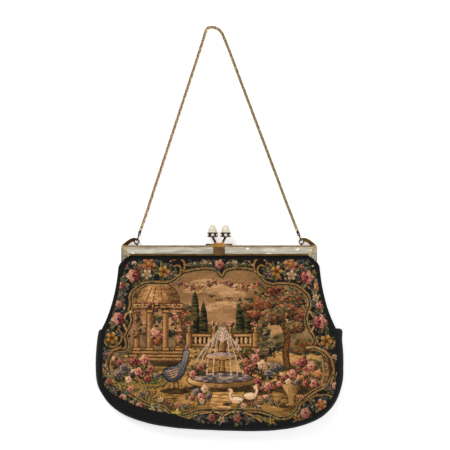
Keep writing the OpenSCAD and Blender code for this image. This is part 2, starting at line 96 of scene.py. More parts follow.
class Nodes:
    """A material's node tree with short ways to add nodes."""

    def __init__(self, name):
        self.material = bpy.data.materials.new(name)
        self.material.use_nodes = True
        self.tree = self.material.node_tree
        self.tree.nodes.clear()
        self.out = self.add("ShaderNodeOutputMaterial")

    def add(self, kind, **settings):
        node = self.tree.nodes.new(kind)
        for key, value in settings.items():
            setattr(node, key, value)
        return node

    def link(self, a, b):
        self.tree.links.new(a, b)

    def put(self, socket, value):
        if isinstance(value, bpy.types.NodeSocket):
            self.link(value, socket)
        else:
            socket.default_value = value

    def math(self, operation, a, b=0.0):
        node = self.add("ShaderNodeMath", operation=operation)
        self.put(node.inputs[0], a)
        self.put(node.inputs[1], b)
        return node.outputs[0]

    def coords(self, scale=(1, 1, 1)):
        where = self.add("ShaderNodeTexCoord")
        mapping = self.add("ShaderNodeMapping")
        mapping.inputs["Scale"].default_value = scale
        self.link(where.outputs["Object"], mapping.inputs["Vector"])
        return mapping.outputs[0]

    def noise(self, vector, scale, detail=3.0, rough=0.55, distort=0.0):
        node = self.add("ShaderNodeTexNoise")
        self.link(vector, node.inputs["Vector"])
        node.inputs["Scale"].default_value = scale
        node.inputs["Detail"].default_value = detail
        node.inputs["Roughness"].default_value = rough
        node.inputs["Distortion"].default_value = distort
        return node.outputs["Fac"]

    def ramp(self, value, *stops):
        node = self.add("ShaderNodeValToRGB")
        ramp = node.color_ramp
        while len(ramp.elements) < len(stops):
            ramp.elements.new(0.5)
        for element, (place, colour) in zip(ramp.elements, stops):
            element.position = place
            element.color = rgba(colour) if isinstance(colour, str) else (colour, colour, colour, 1.0)
        self.put(node.inputs["Fac"], value)
        return node.outputs["Color"]

    def mix(self, factor, a, b, blend="MIX"):
        node = self.add("ShaderNodeMix", data_type="RGBA", blend_type=blend)
        self.put(node.inputs[0], factor)
        self.put(node.inputs[6], a)
        self.put(node.inputs[7], b)
        return node.outputs[2]

    def span(self, value, low, high, to_low, to_high):
        node = self.add("ShaderNodeMapRange")
        self.put(node.inputs[0], value)
        for socket, number in zip(node.inputs[1:5], (low, high, to_low, to_high)):
            socket.default_value = number
        return node.outputs[0]

    def bump(self, height, distance, strength):
        node = self.add("ShaderNodeBump")
        node.inputs["Strength"].default_value = strength
        node.inputs["Distance"].default_value = distance
        self.link(height, node.inputs["Height"])
        return node.outputs["Normal"]

    def surface(self, **values):
        shader = self.add("ShaderNodeBsdfPrincipled")
        for key, value in values.items():
            self.put(shader.inputs[key.replace("_", " ")], value)
        self.link(shader.outputs[0], self.out.inputs["Surface"])
        return self.material


def metal(name, tones, rough, wear=130.0, zones=None, level=0.61):
    """Worn metal: tones from tarnish to bright, with fine rubbing marks.
    zones gives, from the place on the part, shares of other tones that are laid over the first.
    level lowers all tones, since the metal reflects a white background."""
    n = Nodes(name)
    patches = n.noise(n.coords(), wear, 4.0, 0.6)
    rubbed = n.noise(n.coords(scale=(0.35, 1.6, 1.6)), 900.0, 3.0, 0.6)
    share = n.math("ADD", n.math("MULTIPLY", patches, 0.55), n.math("MULTIPLY", rubbed, 0.45))
    places = (0.3, 0.5, 0.7)
    colour = n.ramp(share, *zip(places, tones))
    if zones is not None:
        place = n.add("ShaderNodeSeparateXYZ")
        n.link(n.coords(), place.inputs[0])
        for part, other in zones(n, place.outputs):
            colour = n.mix(part, colour, n.ramp(share, *zip(places, other)))
    colour = n.mix(1.0, colour, (level, level, level, 1.0), "MULTIPLY")
    # Painted shade: ambient occlusion darkens the colour almost to black in hollows and between parts.
    hollow_shade = n.add("ShaderNodeAmbientOcclusion", samples=8, only_local=True)
    hollow_shade.inputs["Distance"].default_value = 0.0014
    colour = n.mix(n.span(hollow_shade.outputs["AO"], 0.4, 0.9, 0.75, 0.0), colour, (0.025, 0.016, 0.009, 1.0))
    return n.surface(
        Base_Color=colour, Metallic=1.0,
        Roughness=n.span(share, 0.3, 0.7, rough + 0.16, rough),
        Normal=n.bump(rubbed, 0.00006, 0.25),
    )


# Light tones for the mitred corner strips: a painted highlight.
PAINTED_HIGHLIGHT = ("#b5873f", "#f0cd8a", "#fff3d2")
GOLD = ("#b0752e", "#dd9f4e", "#fbcf88")
BRASS = ("#8c6c38", "#a38046", "#b79457")
GREYED = ("#887353", "#bfa67e", "#edd5ab")
DULL = ("#4a3517", "#7d5d2f", "#b58f54")
DARK = ("#2c1f10", "#553d1f", "#86663a")
TARNISH = ("#1c140b", "#39291a", "#5d472e")


def frame_zones(n, at):
    """Grey rails on the face, bright strips at the mitred corners painted as highlights, and a dark rail under the
    bar.
    """
    line = n.math("ADD", 0.0805, n.math("MULTIPLY", n.math("SUBTRACT", at[1], 0.0676), 6.2 / 8.4))
    off = n.math("ABSOLUTE", n.math("SUBTRACT", n.math("ABSOLUTE", at[0]), line))
    strip = n.span(off, 0.0014, 0.0010, 0.0, 1.0)
    low = n.span(at[1], 0.0610, 0.0606, 0.0, 1.0)
    face = n.span(at[2], 0.0135, 0.014, 0.0, 1.0)
    return [(face, GREYED), (n.math("MULTIPLY", low, face), DULL), (n.math("MULTIPLY", strip, face), PAINTED_HIGHLIGHT)]


def clasp_zones(n, at):
    """Brown tongue over the bar, gold saddle, dark stems and collars."""
    tongue = n.span(at[1], 0.0665, 0.0660, 0.0, 1.0)
    knob = n.span(at[1], 0.0698, 0.0712, 0.0, 1.0)
    wing = n.span(n.math("ABSOLUTE", at[0]), 0.0050, 0.0070, 0.0, 0.9)
    return [(wing, DARK), (knob, DARK), (tongue, ("#6d5238", "#8a6a4a", "#a98a66"))]


FRAME_METAL = metal("frame_metal", BRASS, 0.22, zones=frame_zones)
CLASP_METAL = metal("clasp_metal", GOLD, 0.2, zones=clasp_zones)
BRONZE = metal("dark_brass", DARK, 0.26)
# The mirrored ears are one metal in two copies: darker tones on the left as painted shade, lighter tones on the right
# as painted light.
SHADED_AND_LIT_EAR_METAL = {"left": BRONZE, "right": metal("right_ear_painted_light_brass", DULL, 0.26)}
WIRE = metal("dark_wire", TARNISH, 0.34)
CHAIN_GOLD = metal("chain_gold", ("#57462d", "#9b8057", "#d9bf8e"), 0.3, wear=420.0, level=1.0)


# Pieces
def new_object(name, mesh, material, smooth=True):
    mesh.materials.clear()
    mesh.materials.append(material)
    if smooth:
        mesh.shade_smooth()
    obj = bpy.data.objects.new(name, mesh)
    scene.collection.objects.link(obj)
    return obj


def mesh_of(name, verts, faces):
    mesh = bpy.data.meshes.new(name)
    mesh.from_pydata([tuple(v) for v in verts], [], [tuple(f) for f in faces])
    mesh.update()
    return mesh


def finish_piece(obj, body, slot, *nodes):
    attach(obj, body)
    if nodes:
        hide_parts(*nodes)
    return obj


def keep_node(node, material):
    """A CAD node that is shown as it is, with a material of its own."""
    obj = NODES[node]
    obj.data.materials.clear()
    obj.data.materials.append(material)
    return obj


def smooth_line(points, closed, step):
    """A curve through points, with steps between each two."""
    p = np.asarray(points, float)
    before, beyond = (p[-1:], p[:2]) if closed else (2 * p[:1] - p[1:2], 2 * p[-1:] - p[-2:-1])
    p = np.concatenate([before, p, beyond])
    line = []
    for a, b, c, d in zip(p[:-3], p[1:-2], p[2:-1], p[3:]):
        for t in np.arange(step) / step:
            line.append(0.5 * (2 * b + (c - a) * t + (2 * a - 5 * b + 4 * c - d) * t * t
                               + (3 * b - a - 3 * c + d) * t ** 3))
    return np.array(line if closed else line + [p[-2]])


# Chain: round-wire links in place of the flat ones in the CAD node
EAR = (68.1, 3.0, 3.4)
LEAN = {-1: 18.0, 1: 21.0}
FALL = math.radians(3)
LYING_Z = 1.22
LINK_PITCH, LINK_PLAY, LINK_R, LINK_WIRE = 2.75, 0.45, 0.98, 0.49
LINK_IN, LINK_OUT, CAP_START, CAP_L = 0.6, 1.2, 6.98, 2.2
LINK_HALF = (LINK_PITCH + LINK_PLAY) / 2 - math.sqrt(LINK_IN ** 2 - 0.3 ** 2)
CHAIN_START = CAP_START + CAP_L + 0.05 + LINK_HALF + LINK_OUT


def lead(s):
    a = math.radians(LEAN[s])
    return np.array([-s * math.sin(a) * math.cos(FALL), math.cos(a) * math.cos(FALL), -math.sin(FALL)])


def chain_route():
    bends = [(-60, 27, 1.9), (-55, 42.5), (-45, 73), (-35, 103.5), (-25, 134), (-17, 158.5),
             (-13.6, 169), (-11.9, 174.6), (-11.1, 177.3), (-10.1, 179.1), (-8.6, 180.1), (-6.6, 180.5),
             (-4.3, 180.3), (-2, 179.6), (0, 178.3), (1.7, 176.5), (2.9, 174.6), (5.3, 168.8), (9, 159.5),
             (18, 135.5), (28, 109), (38, 82.5), (48, 56), (54.5, 38.5), (59.5, 25.5, 1.9)]
    eyes = {s: np.array([s * EAR[0], EAR[1], EAR[2]]) for s in (-1, 1)}
    points = [eyes[-1] + CHAIN_START * lead(-1)]
    points += [np.array([*b, LYING_Z][:3], float) for b in bends]
    points.append(eyes[1] + CHAIN_START * lead(1))
    return smooth_line(points, False, 12)


route = chain_route()
runs = np.concatenate([[0], np.cumsum(np.linalg.norm(np.diff(route, axis=0), axis=1))])
chain_length = runs[-1]


def on_chain(s):
    return np.array([np.interp(s, runs, route[:, k]) for k in range(3)])


def link_loop(count, sides):
    """Points of one round-wire link along X, with straight sides and round ends."""
    bend = math.pi * LINK_R
    total = 2 * bend + 4 * LINK_HALF
    verts = []
    for k in range(count):
        s = (k + 0.5) * total / count
        if s < 2 * LINK_HALF:
            p, out = (s - LINK_HALF, -LINK_R), (0, -1)
        elif s < 2 * LINK_HALF + bend:
            a = (s - 2 * LINK_HALF) / LINK_R - math.pi / 2
            out = (math.cos(a), math.sin(a))
            p = (LINK_HALF + LINK_R * out[0], LINK_R * out[1])
        elif s < 4 * LINK_HALF + bend:
            p, out = (LINK_HALF - (s - 2 * LINK_HALF - bend), LINK_R), (0, 1)
        else:
            a = (s - 4 * LINK_HALF - bend) / LINK_R + math.pi / 2
            out = (math.cos(a), math.sin(a))
            p = (-LINK_HALF + LINK_R * out[0], LINK_R * out[1])
        for j in range(sides):
            b = 2 * math.pi * j / sides
            verts.append((p[0] + LINK_WIRE * math.cos(b) * out[0],
                          p[1] + LINK_WIRE * math.cos(b) * out[1], LINK_WIRE * math.sin(b)))
    faces = [(k * sides + j, ((k + 1) % count) * sides + j, ((k + 1) % count) * sides + (j + 1) % sides,
              k * sides + (j + 1) % sides) for k in range(count) for j in range(sides)]
    return np.array(verts), np.array(faces)


def build_chain():
    one, faces = link_loop(26, 8)
    links = int(chain_length // LINK_PITCH)
    all_verts, all_faces = [], []
    for i in range(links + 1):
        s = i * chain_length / links
        at = on_chain(s)
        way = on_chain(min(chain_length, s + 1)) - on_chain(max(0, s - 1))
        way /= np.linalg.norm(way)
        side = np.cross((0, 0, 1), way)
        side /= np.linalg.norm(side)
        up = np.cross(way, side)
        roll = math.radians(45 if i % 2 == 0 else -45)
        y_dir = math.cos(roll) * side + math.sin(roll) * up
        z_dir = -math.sin(roll) * side + math.cos(roll) * up
        all_faces.append(faces + len(one) * i)
        all_verts.append(at + one @ np.array([way, y_dir, z_dir]))
    verts = np.concatenate(all_verts) + (0, TOP_Y, 0)
    return mesh_of("chain_links", verts * 0.001, np.concatenate(all_faces))


chain = new_object("chain_links", build_chain(), CHAIN_GOLD)
finish_piece(chain, "bag", "chain_gold", "chain")
for side in ("left", "right"):
    keep_node(side + "_end_ring", WIRE)
    keep_node(side + "_end_cap", WIRE)
    keep_node(side + "_hinge_pin", BRONZE)


# Floor and surroundings
def build_stage():
    n = Nodes("paper")
    path = n.add("ShaderNodeLightPath")
    seen = n.math("MAXIMUM", path.outputs["Is Camera Ray"],
                  n.math("MAXIMUM", path.outputs["Is Glossy Ray"], path.outputs["Is Transmission Ray"]))
    diffuse = n.add("ShaderNodeBsdfDiffuse")
    diffuse.inputs["Color"].default_value = (0.86, 0.86, 0.86, 1)
    glow = n.add("ShaderNodeEmission")
    n.put(glow.inputs["Strength"], n.math("MULTIPLY", seen, 0.45))
    both = n.add("ShaderNodeAddShader")
    n.link(diffuse.outputs[0], both.inputs[0])
    n.link(glow.outputs[0], both.inputs[1])
    n.link(both.outputs[0], n.out.inputs["Surface"])
    floor_z = -0.0004
    corners = [(x, y, floor_z) for x, y in ((-6, -6), (6, -6), (6, 6), (-6, 6))]
    floor = new_object("floor", mesh_of("floor", corners, [(0, 1, 2, 3)]), n.material, False)
    world = bpy.data.worlds.new("world")
    scene.world = world
    world.use_nodes = True
    tree = world.node_tree
    tree.nodes.clear()
    out = tree.nodes.new("ShaderNodeOutputWorld")
    path = tree.nodes.new("ShaderNodeLightPath")
    back = tree.nodes.new("ShaderNodeBackground")
    level = tree.nodes.new("ShaderNodeMapRange")
    seen = path.outputs["Is Camera Ray"]
    for ray in ("Is Glossy Ray", "Is Transmission Ray"):
        either = tree.nodes.new("ShaderNodeMath")
        either.operation = "MAXIMUM"
        tree.links.new(seen, either.inputs[0])
        tree.links.new(path.outputs[ray], either.inputs[1])
        seen = either.outputs[0]
    tree.links.new(seen, level.inputs[0])
    level.inputs[3].default_value = 0.55
    level.inputs[4].default_value = 1.0
    tree.links.new(level.outputs[0], back.inputs["Strength"])
    tree.links.new(back.outputs[0], out.inputs["Surface"])


build_stage()


# Metal frame, clasp, ears and inlay: the CAD shapes with rounded edges
BEVELLED, CREASED = math.radians(28), math.radians(50)


def rounded(node, width, material, body, slot, segments=2):
    bm = bmesh.new()
    bm.from_mesh(NODES[node].data)
    bmesh.ops.remove_doubles(bm, verts=bm.verts, dist=3e-6)
    bmesh.ops.dissolve_limit(bm, angle_limit=math.radians(2), verts=bm.verts, edges=bm.edges)
    sharp = [e for e in bm.edges if len(e.link_faces) == 2 and e.calc_face_angle(0) > BEVELLED]
    bmesh.ops.bevel(bm, geom=sharp, offset=width, offset_type="OFFSET", segments=segments, profile=0.5,
                    affect="EDGES", clamp_overlap=True)
    for face in bm.faces:
        face.smooth = True
    for edge in bm.edges:
        edge.smooth = len(edge.link_faces) == 2 and edge.calc_face_angle(0) < CREASED
    mesh = bpy.data.meshes.new(node + "_finished")
    bm.to_mesh(mesh)
    bm.free()
    obj = new_object(node + "_finished", mesh, material, False)
    weighted = obj.modifiers.new("normals", "WEIGHTED_NORMAL")
    weighted.keep_sharp = True
    return finish_piece(obj, body, slot, node)


def nacre(name, ivory=False, shade=1.0):
    """Mother-of-pearl: cloudy bands with a soft shift of hue under a clear polish."""
    n = Nodes(name)
    warped = n.coords(scale=(0.45, 4.6, 2.0))
    clouds = n.noise(warped, 95.0, 4.0, 0.6, 1.1)
    sheen = n.noise(n.coords(scale=(0.5, 2.6, 1.0)), 150.0, 2.0, 0.5, 0.8)
    if ivory:
        colour = n.ramp(clouds, (0.3, "#beb59e"), (0.52, "#d3cab7"), (0.72, "#e0d9cb"))
    else:
        base = n.ramp(clouds, (0.28, "#77776e"), (0.42, "#a39f93"), (0.55, "#c3bcac"), (0.72, "#e6dfd0"))
        hue = n.ramp(sheen, (0.35, "#aebdae"), (0.5, "#d8d2c8"), (0.66, "#d6b7ac"))
        colour = n.mix(0.5, base, hue, "MULTIPLY")
        colour = n.mix(0.45, colour, base)
        # Painted glints: near-white spots in the colour stand for light flashing off the nacre.
        painted_glint = n.noise(n.coords(scale=(1.0, 1.6, 1.0)), 190.0, 1.0, 0.4)
        colour = n.mix(n.span(painted_glint, 0.70, 0.76, 0.0, 0.8), colour, (1.0, 0.98, 0.94, 1.0))
        # shade darkens a whole copy of the nacre: painted shade.
        colour = n.mix(1.0, colour, (shade, shade, 0.96 * shade, 1.0), "MULTIPLY")
    return n.surface(
        Base_Color=colour, Roughness=n.span(sheen, 0.3, 0.7, 0.34, 0.2), Specular_IOR_Level=0.3 if ivory else 0.7,
        Coat_Weight=0.15 if ivory else 0.6, Coat_Roughness=0.08, Subsurface_Weight=0.12 if ivory else 0.0,
        Subsurface_Scale=0.002, Normal=n.bump(clouds, 0.0001 if ivory else 0.00025, 0.35),
    )


NACRE = nacre("mother_of_pearl")
# The side plates are darker copies of the bar's nacre, the left one much darker than the right: painted shade, as for
# light from the right.
SHADED_SIDE_NACRE = {"left": nacre("left_side_nacre_painted_shade", shade=0.42), "right": nacre("right_side_nacre", shade=0.7)}
PEARL = nacre("ivory_pearl", True)

rounded("front_frame", 0.00022, FRAME_METAL, "front_half", "frame_gold")
rounded("rear_frame", 0.00022, FRAME_METAL, "bag", "frame_gold")
rounded("front_clasp", 0.00022, CLASP_METAL, "front_half", "frame_gold")
rounded("rear_clasp", 0.00022, CLASP_METAL, "bag", "frame_gold")
for side in ("left", "right"):
    rounded(side + "_bar_inlay", 0.00045, NACRE, "front_half", "nacre", 3)
    rounded(side + "_side_inlay", 0.0003, SHADED_SIDE_NACRE[side], "front_half", "nacre", 3)
    rounded(side + "_ear", 0.0003, SHADED_AND_LIT_EAR_METAL[side], "bag", "dark_brass", 3)


def lathe(profile, count, base, name):
    """A body turned around Y at base, from a profile of (radius, height)."""
    verts, faces = [], []
    for r, h in profile:
        for k in range(count):
            a = 2 * math.pi * k / count
            verts.append((base[0] + r * math.cos(a), base[1] + h, base[2] + r * math.sin(a)))
    for i in range(len(profile) - 1):
        for k in range(count):
            m = (k + 1) % count
            faces.append((i * count + m, i * count + k, (i + 1) * count + k, (i + 1) * count + m))
    low, high = len(verts), len(verts) + 1
    verts += [(base[0], base[1] + profile[0][1], base[2]), (base[0], base[1] + profile[-1][1], base[2])]
    last = (len(profile) - 1) * count
    for k in range(count):
        m = (k + 1) % count
        faces.append((low, k, m))
        faces.append((high, last + m, last + k))
    return mesh_of(name, np.array(verts) * 0.001, faces)


KNOB_RISE, KNOB_APART, COLLAR_Y, COLLAR_H = 17.3, 10.9, 6.4, 3.2


def build_pearl(name, s, body):
    foot, tall = 0.6, KNOB_RISE - COLLAR_Y - COLLAR_H
    profile = [(3.13, 0.0), (3.4, 0.25)]
    for a in np.radians(np.linspace(-8, 88, 36)):
        profile.append((3.65 * math.cos(a) ** 0.94, foot + 0.2 + (tall - foot - 0.2) * math.sin(a)))
    base = (s * KNOB_APART / 2, TOP_Y + COLLAR_Y + COLLAR_H, 7.5 + s)
    pearl = new_object(name, lathe(profile, 48, base, name), PEARL)
    finish_piece(pearl, body, "clasp_pearl", name.replace("_bead", "_pearl"))


build_pearl("front_clasp_bead", 1, "front_half")
build_pearl("rear_clasp_bead", -1, "bag")


def build_stones():
    n = Nodes("cut_crystal")
    sparks = n.noise(n.coords(), 900.0, 2.0)
    material = n.surface(
        Base_Color=n.ramp(sparks, (0.35, "#9fb0b8"), (0.5, "#dfe6ea"), (0.62, "#ffffff")),
        Metallic=0.75, Roughness=n.span(sparks, 0.3, 0.7, 0.03, 0.1), Coat_Weight=1.0, Coat_Roughness=0.02,
    )
    for node in ("front_clasp_stones", "rear_clasp_stones"):
        keep_node(node, material)


build_stones()


# Cut of the panels, after the CAD source, with the hem and the corners fitted to the photograph
def bezier(p, t):
    p = [np.array(q) for q in p]
    return (1 - t) ** 3 * p[0] + 3 * t * (1 - t) ** 2 * p[1] + 3 * t * t * (1 - t) * p[2] + t ** 3 * p[3]


def panel_edge():
    """Right edge of a panel from the frame to the middle of the bottom, local Y, before its slant."""
    neck, shoulder, widest = (82.9, -17.7), (97.0, -70.0), (99.8, -WIDEST)
    dx, dy = shoulder[0] - neck[0], shoulder[1] - neck[1]
    flare = [neck, (neck[0] + 0.12 * dx, neck[1] + 0.4 * dy), (neck[0] + 0.45 * dx, neck[1] + 0.72 * dy), shoulder]
    ex, ey = widest[0] - shoulder[0], widest[1] - shoulder[1]
    side = [shoulder, (shoulder[0] + 0.7 * ex, shoulder[1] + 0.25 * ey),
            (widest[0], widest[1] - 0.36 * ey), widest]
    edge = [np.array(p) for p in ((78.2, -3.0), (78.2, -12.2), (79.2, -13.4), (81.2, -14.3))]
    edge += [bezier(flare, t) for t in np.linspace(0, 1, 25)]
    edge += [bezier(side, t) for t in np.linspace(0, 1, 13)[1:]]
    for a in np.radians(np.linspace(0, 90, 61)[1:]):
        c, s = max(0.0, math.cos(a)), math.sin(a)
        edge.append(np.array([widest[0] * c ** (2 / 3), -WIDEST - (LOWEST - WIDEST) * s ** (2 / 3)]))
    edge[-1][0] = 0.0
    return np.array(edge)


def ease(t):
    c = np.clip(t, 0, 1)
    return c * c * (3 - 2 * c)


WIDEST, LOWEST, TILT = 98.0, 151.4, 0.036
RIGHT = panel_edge()
TILT_RISE = (TILT * RIGHT[:, 0] - RIGHT[:, 1]).max() - LOWEST


def slant(x, y):
    """How far a place below the widest one hangs lower for the slant of the bottom."""
    return (TILT * x - TILT_RISE) * ease((-y - WIDEST) / (LOWEST - WIDEST))


def hung(points):
    points = np.array(points, float)
    points[:, 1] -= slant(points[:, 0], points[:, 1])
    return points


def drop_of(x, y):
    """Drop of a hung place before its slant."""
    level = y
    for _ in range(4):
        level = y + slant(x, level)
    return -level


OUTLINE = hung(np.concatenate([RIGHT, (RIGHT * (-1, 1))[-2::-1]]))


def half_width(drop):
    return np.interp(drop, -RIGHT[:, 1], RIGHT[:, 0])


# Drops where the cloth leaves the frame and where its arch is full, and the arch's height
TUCK, FULL, ARCH = 12.2, 90, 11


def seam_z(drop):
    return 12.9 + 6.1 * ease((drop - TUCK) / 57.8)


def front_z(x, y):
    drop = drop_of(x, y)
    crown = ARCH * ease((drop - TUCK) / 77.8) * (1 - np.clip((drop - FULL) / 60.3, 0, 1) ** 3)
    across = np.minimum(1, np.abs(x) / np.maximum(1, half_width(drop)))
    return seam_z(drop) + crown * (1 - across ** 2.5)


def back_z(y):
    return 2.1 * ease((22.2 + y) / 12)


def inside(points, loop):
    x, y = points[:, 0], points[:, 1]
    hit = np.zeros(len(points), bool)
    for (x0, y0), (x1, y1) in zip(loop, np.roll(loop, -1, 0)):
        if y0 != y1:
            hit ^= ((y0 > y) != (y1 > y)) & (x < (x1 - x0) * (y - y0) / (y1 - y0) + x0)
    return hit


def nearest(points, line, closed=False):
    """Distance to a line of points, and the nearest place on it."""
    best = np.full(len(points), 1e9)
    place = np.zeros((len(points), 2))
    ends = np.roll(line, -1, 0) if closed else line[1:]
    for a, b in zip(line, ends):
        way = b - a
        t = np.clip(((points - a) @ way) / max(1e-12, way @ way), 0, 1)
        q = a + t[:, None] * way
        d = np.hypot(*(points - q).T)
        near = d < best
        best[near] = d[near]
        place[near] = q[near]
    return best, place


def grid_sheet(loop, pitch, top, thick, roll_up=1.0, roll_w=1.6, wave=None, under=None):
    """A cloth of square cells cut to a loop, with its height from a function and turned edges.
    Its lower side has the same cells, or triangles of the size under. Returns vertices in millimetres,
    faces, the middle of each upper cell and each vertex's place on the grid."""
    low, high = loop.min(0), loop.max(0)
    nx, ny = (np.ceil((high - low) / pitch).astype(int) + 2)
    xs = (np.arange(nx + 1) - nx / 2) * pitch
    ys = high[1] + pitch * 0.5 - np.arange(ny + 1) * pitch
    flat = np.stack([g.ravel() for g in np.meshgrid(xs, ys)], 1)
    first = (np.arange(ny)[:, None] * (nx + 1) + np.arange(nx)).ravel()
    cells = np.column_stack([first, first + nx + 1, first + nx + 2, first + 1])
    middles = flat[cells].mean(1)
    keep = inside(middles, loop)
    cells, middles = cells[keep], middles[keep]
    used, cells = np.unique(cells, return_inverse=True)
    cells = cells.reshape(-1, 4)
    flat = flat[used]
    index = np.round((flat - (xs[0], ys[0])) / (pitch, -pitch))
    edges = set()
    for face in cells.tolist():
        for a, b in zip(face, face[1:] + face[:1]):
            if (b, a) in edges:
                edges.remove((b, a))
            else:
                edges.add((a, b))
    after = dict(edges)
    rim = [min(after)]
    while after[rim[-1]] != rim[0]:
        rim.append(after[rim[-1]])
    flat[rim] = nearest(flat[rim], loop, True)[1]

    def height(points):
        away = nearest(points, loop, True)[0]
        z = top(points[:, 0], points[:, 1]) - roll_up * (1 - np.clip(away / roll_w, 0, 1)) ** 2
        return z if wave is None else z + wave(points[:, 0], points[:, 1], away)

    n = len(flat)
    if under is None:
        below, low_faces, low_of = flat, cells[:, ::-1] + n, {a: a + n for a in rim}
    else:
        spots = np.stack([g.ravel() for g in np.meshgrid(np.arange(low[0], high[0], under),
                                                         np.arange(low[1], high[1], under))], 1)
        spots = spots[inside(spots, loop) & (nearest(spots, loop, True)[0] > 0.7 * under)]
        plan = [Vector(p) for p in np.concatenate([flat[rim], spots])]
        points, _, triangles, origin, _, _ = delaunay_2d_cdt(plan, [], [list(range(len(rim)))], 1, 1e-7)
        below = np.array([tuple(p) for p in points])
        low_of = {rim[i]: v + n for v, olds in enumerate(origin) for i in olds if i < len(rim)}
        low_faces = np.array(triangles)[:, ::-1] + n
        index = np.concatenate([index, (below - (xs[0], ys[0])) / (pitch, -pitch)])
    upper = np.column_stack([flat, height(flat)])
    lower = np.column_stack([below, height(below) - thick])
    walls = [(b, a, low_of[a], low_of[b]) if low_of[a] != low_of[b] else (b, a, low_of[a])
             for a, b in zip(rim, rim[1:] + rim[:1])]
    return np.concatenate([upper, lower]), cells.tolist() + low_faces.tolist() + walls, middles, index


def to_row(points):
    return (np.asarray(points) + (0, TOP_Y, 0)) * 0.001


# Petit point: one colour for each stitch, laid in tones as with threads. U is across and W down, in units of PX
def slow_wave(x, y, away):
    """Slight unevenness of the stretched canvas."""
    drop = drop_of(x, y)
    soft = np.clip(away / 14, 0, 1) * ease((drop - 16) / 20)
    swell = np.sin(x / 17.3 + 0.9 * np.sin(y / 23.0)) * np.sin(y / 19.1 + 0.7) * 0.22
    pull = 0.16 * np.sin(x / 2.9) * np.exp(-((drop - 12) / 7.0) ** 2)
    seam = 0.1 * np.sin((x + y) / 2.3) * np.exp(-(away / 3.5) ** 2)
    return soft * swell + pull + seam


STITCH = 0.56
panel_verts, panel_faces, stitches, panel_index = grid_sheet(OUTLINE, STITCH, front_z, 1.0, 0.9, 2.0, slow_wave, 3.0)
U = stitches[:, 0] / PX + 219.0
W = 245.3 - stitches[:, 1] / PX
PLACE = np.column_stack([U, W])
EDGE = nearest(stitches, OUTLINE, True)[0] / PX
COL = np.zeros((len(U), 3))
rng = np.random.default_rng(11)

BLACK = ("#0d0e0f", "#121314", "#171819", "#1c1d1d")
CRIMSON = ("#4a1a20", "#7c3036", "#a8474d", "#c76c6e", "#dba09a")
PINK = ("#6f3338", "#a85b5e", "#c98884", "#dcaea2", "#e9cdbd")
PEACH = ("#87492e", "#b8754e", "#d79f74", "#ecc9a2")
YELLOW = ("#77501f", "#b3812e", "#d3a64c", "#e8ca82")
PURPLE = ("#372b45", "#5d4c6d", "#8b7997", "#b8abbd")
PALE = ("#8b7d67", "#b8aa91", "#dad0ba", "#f1ebdc")
BLUE = ("#323a44", "#545f6a", "#7f8a90", "#adb4b3")
GREY = ("#2f3a33", "#4a5849", "#6f7b69")
TEAL = ("#22343a", "#3a5158", "#5f7779")
OLIVE = ("#33391f", "#51562e", "#787843")
SAGE = ("#4a5538", "#6f784f", "#979a70")
TAN = ("#5d4526", "#8e6e3c", "#bd9b60", "#dcc08a")
BROWN = ("#2c1d12", "#4b321c", "#6f4d2a", "#936d3f")
STONE = ("#6b5534", "#8d7447", "#ab925f", "#c5ae7c", "#d8c69a")
OCHRE = ("#665127", "#7f6936", "#978046", "#ac9457", "#bda669", "#cbb67c")
RUST = ("#5c2c1c", "#8b4a2c", "#b06b44", "#cb9067")
DUSTY = ("#6a332b", "#94574a", "#b98271", "#d5aa97")


def thread(pick, tones, t):
    palette = np.array([rgb(c) for c in tones])
    k = np.clip((np.asarray(t) * len(palette)).astype(int), 0, len(palette) - 1)
    COL[pick] = palette[k]


def field(scale_u, scale_w, seed):
    """Smooth chance values over the cloth, 0 to 1."""
    chance = np.random.default_rng(seed).random((48, 48))
    a, b = U / scale_u, W / scale_w
    i, j = np.floor(a).astype(int), np.floor(b).astype(int)
    f, g = ease(a - i), ease(b - j)
    top = chance[i % 48, j % 48] * (1 - f) + chance[(i + 1) % 48, j % 48] * f
    low = chance[i % 48, (j + 1) % 48] * (1 - f) + chance[(i + 1) % 48, (j + 1) % 48] * f
    return top * (1 - g) + low * g


GRAIN = rng.random(len(U))
STREAK = field(5.0, 1.3, 3)
CLOUD = field(17.0, 9.0, 5)


def polar(u, w, r):
    reach = 1.25
    i = np.nonzero((np.abs(U - u) < reach * r) & (np.abs(W - w) < reach * r))[0]
    du, dw = (U[i] - u) / r, (W[i] - w) / r
    return i, np.hypot(du, dw), np.arctan2(dw, du), dw


PETALS = 5


def rose(u, w, r, tones, turn=0.0, other=None):
    """Petals wound about a dark heart, lighter on one side, or in other tones there."""
    i, d, a, dw = polar(u, w, r)
    b = a + turn
    edge = 0.9 + 0.1 * np.cos(PETALS * b) + 0.06 * (GRAIN[i] - 0.5)
    s = (2.1 * d + 0.4 * np.sin(3 * b + 4 * d)) % 1.0
    light = np.cos(a + 2.3) * np.clip(1.6 * d, 0, 1)
    t = 0.2 + 0.55 * s + 0.22 * light + 0.22 * (GRAIN[i] - 0.5)
    t = np.where(d < 0.2, 0.02, t)
    t = np.where((d > edge - 0.1) & (light < 0.3), 0.1, t)
    k = d < edge
    thread(i[k], tones, t[k])
    if other is not None:
        k &= np.cos(a + turn) + 0.5 * (s - 0.5) > 0.15
        thread(i[k], other, t[k] + 0.12)


def blossom(u, w, r, tones, core=YELLOW, turn=0.3):
    i, d, a, dw = polar(u, w, r)
    lobe = np.abs(np.cos(PETALS * (a + turn) / 2))
    edge = 0.45 + 0.58 * lobe ** 0.6
    k = d < edge
    t = 0.12 + 0.62 * (d / edge) * lobe - 0.16 * dw + 0.2 * (GRAIN[i] - 0.5)
    thread(i[k], tones, np.where(lobe < 0.25, 0.05, t)[k])
    c = d < 0.3
    thread(i[c], core, 0.5 - 0.8 * dw[c])


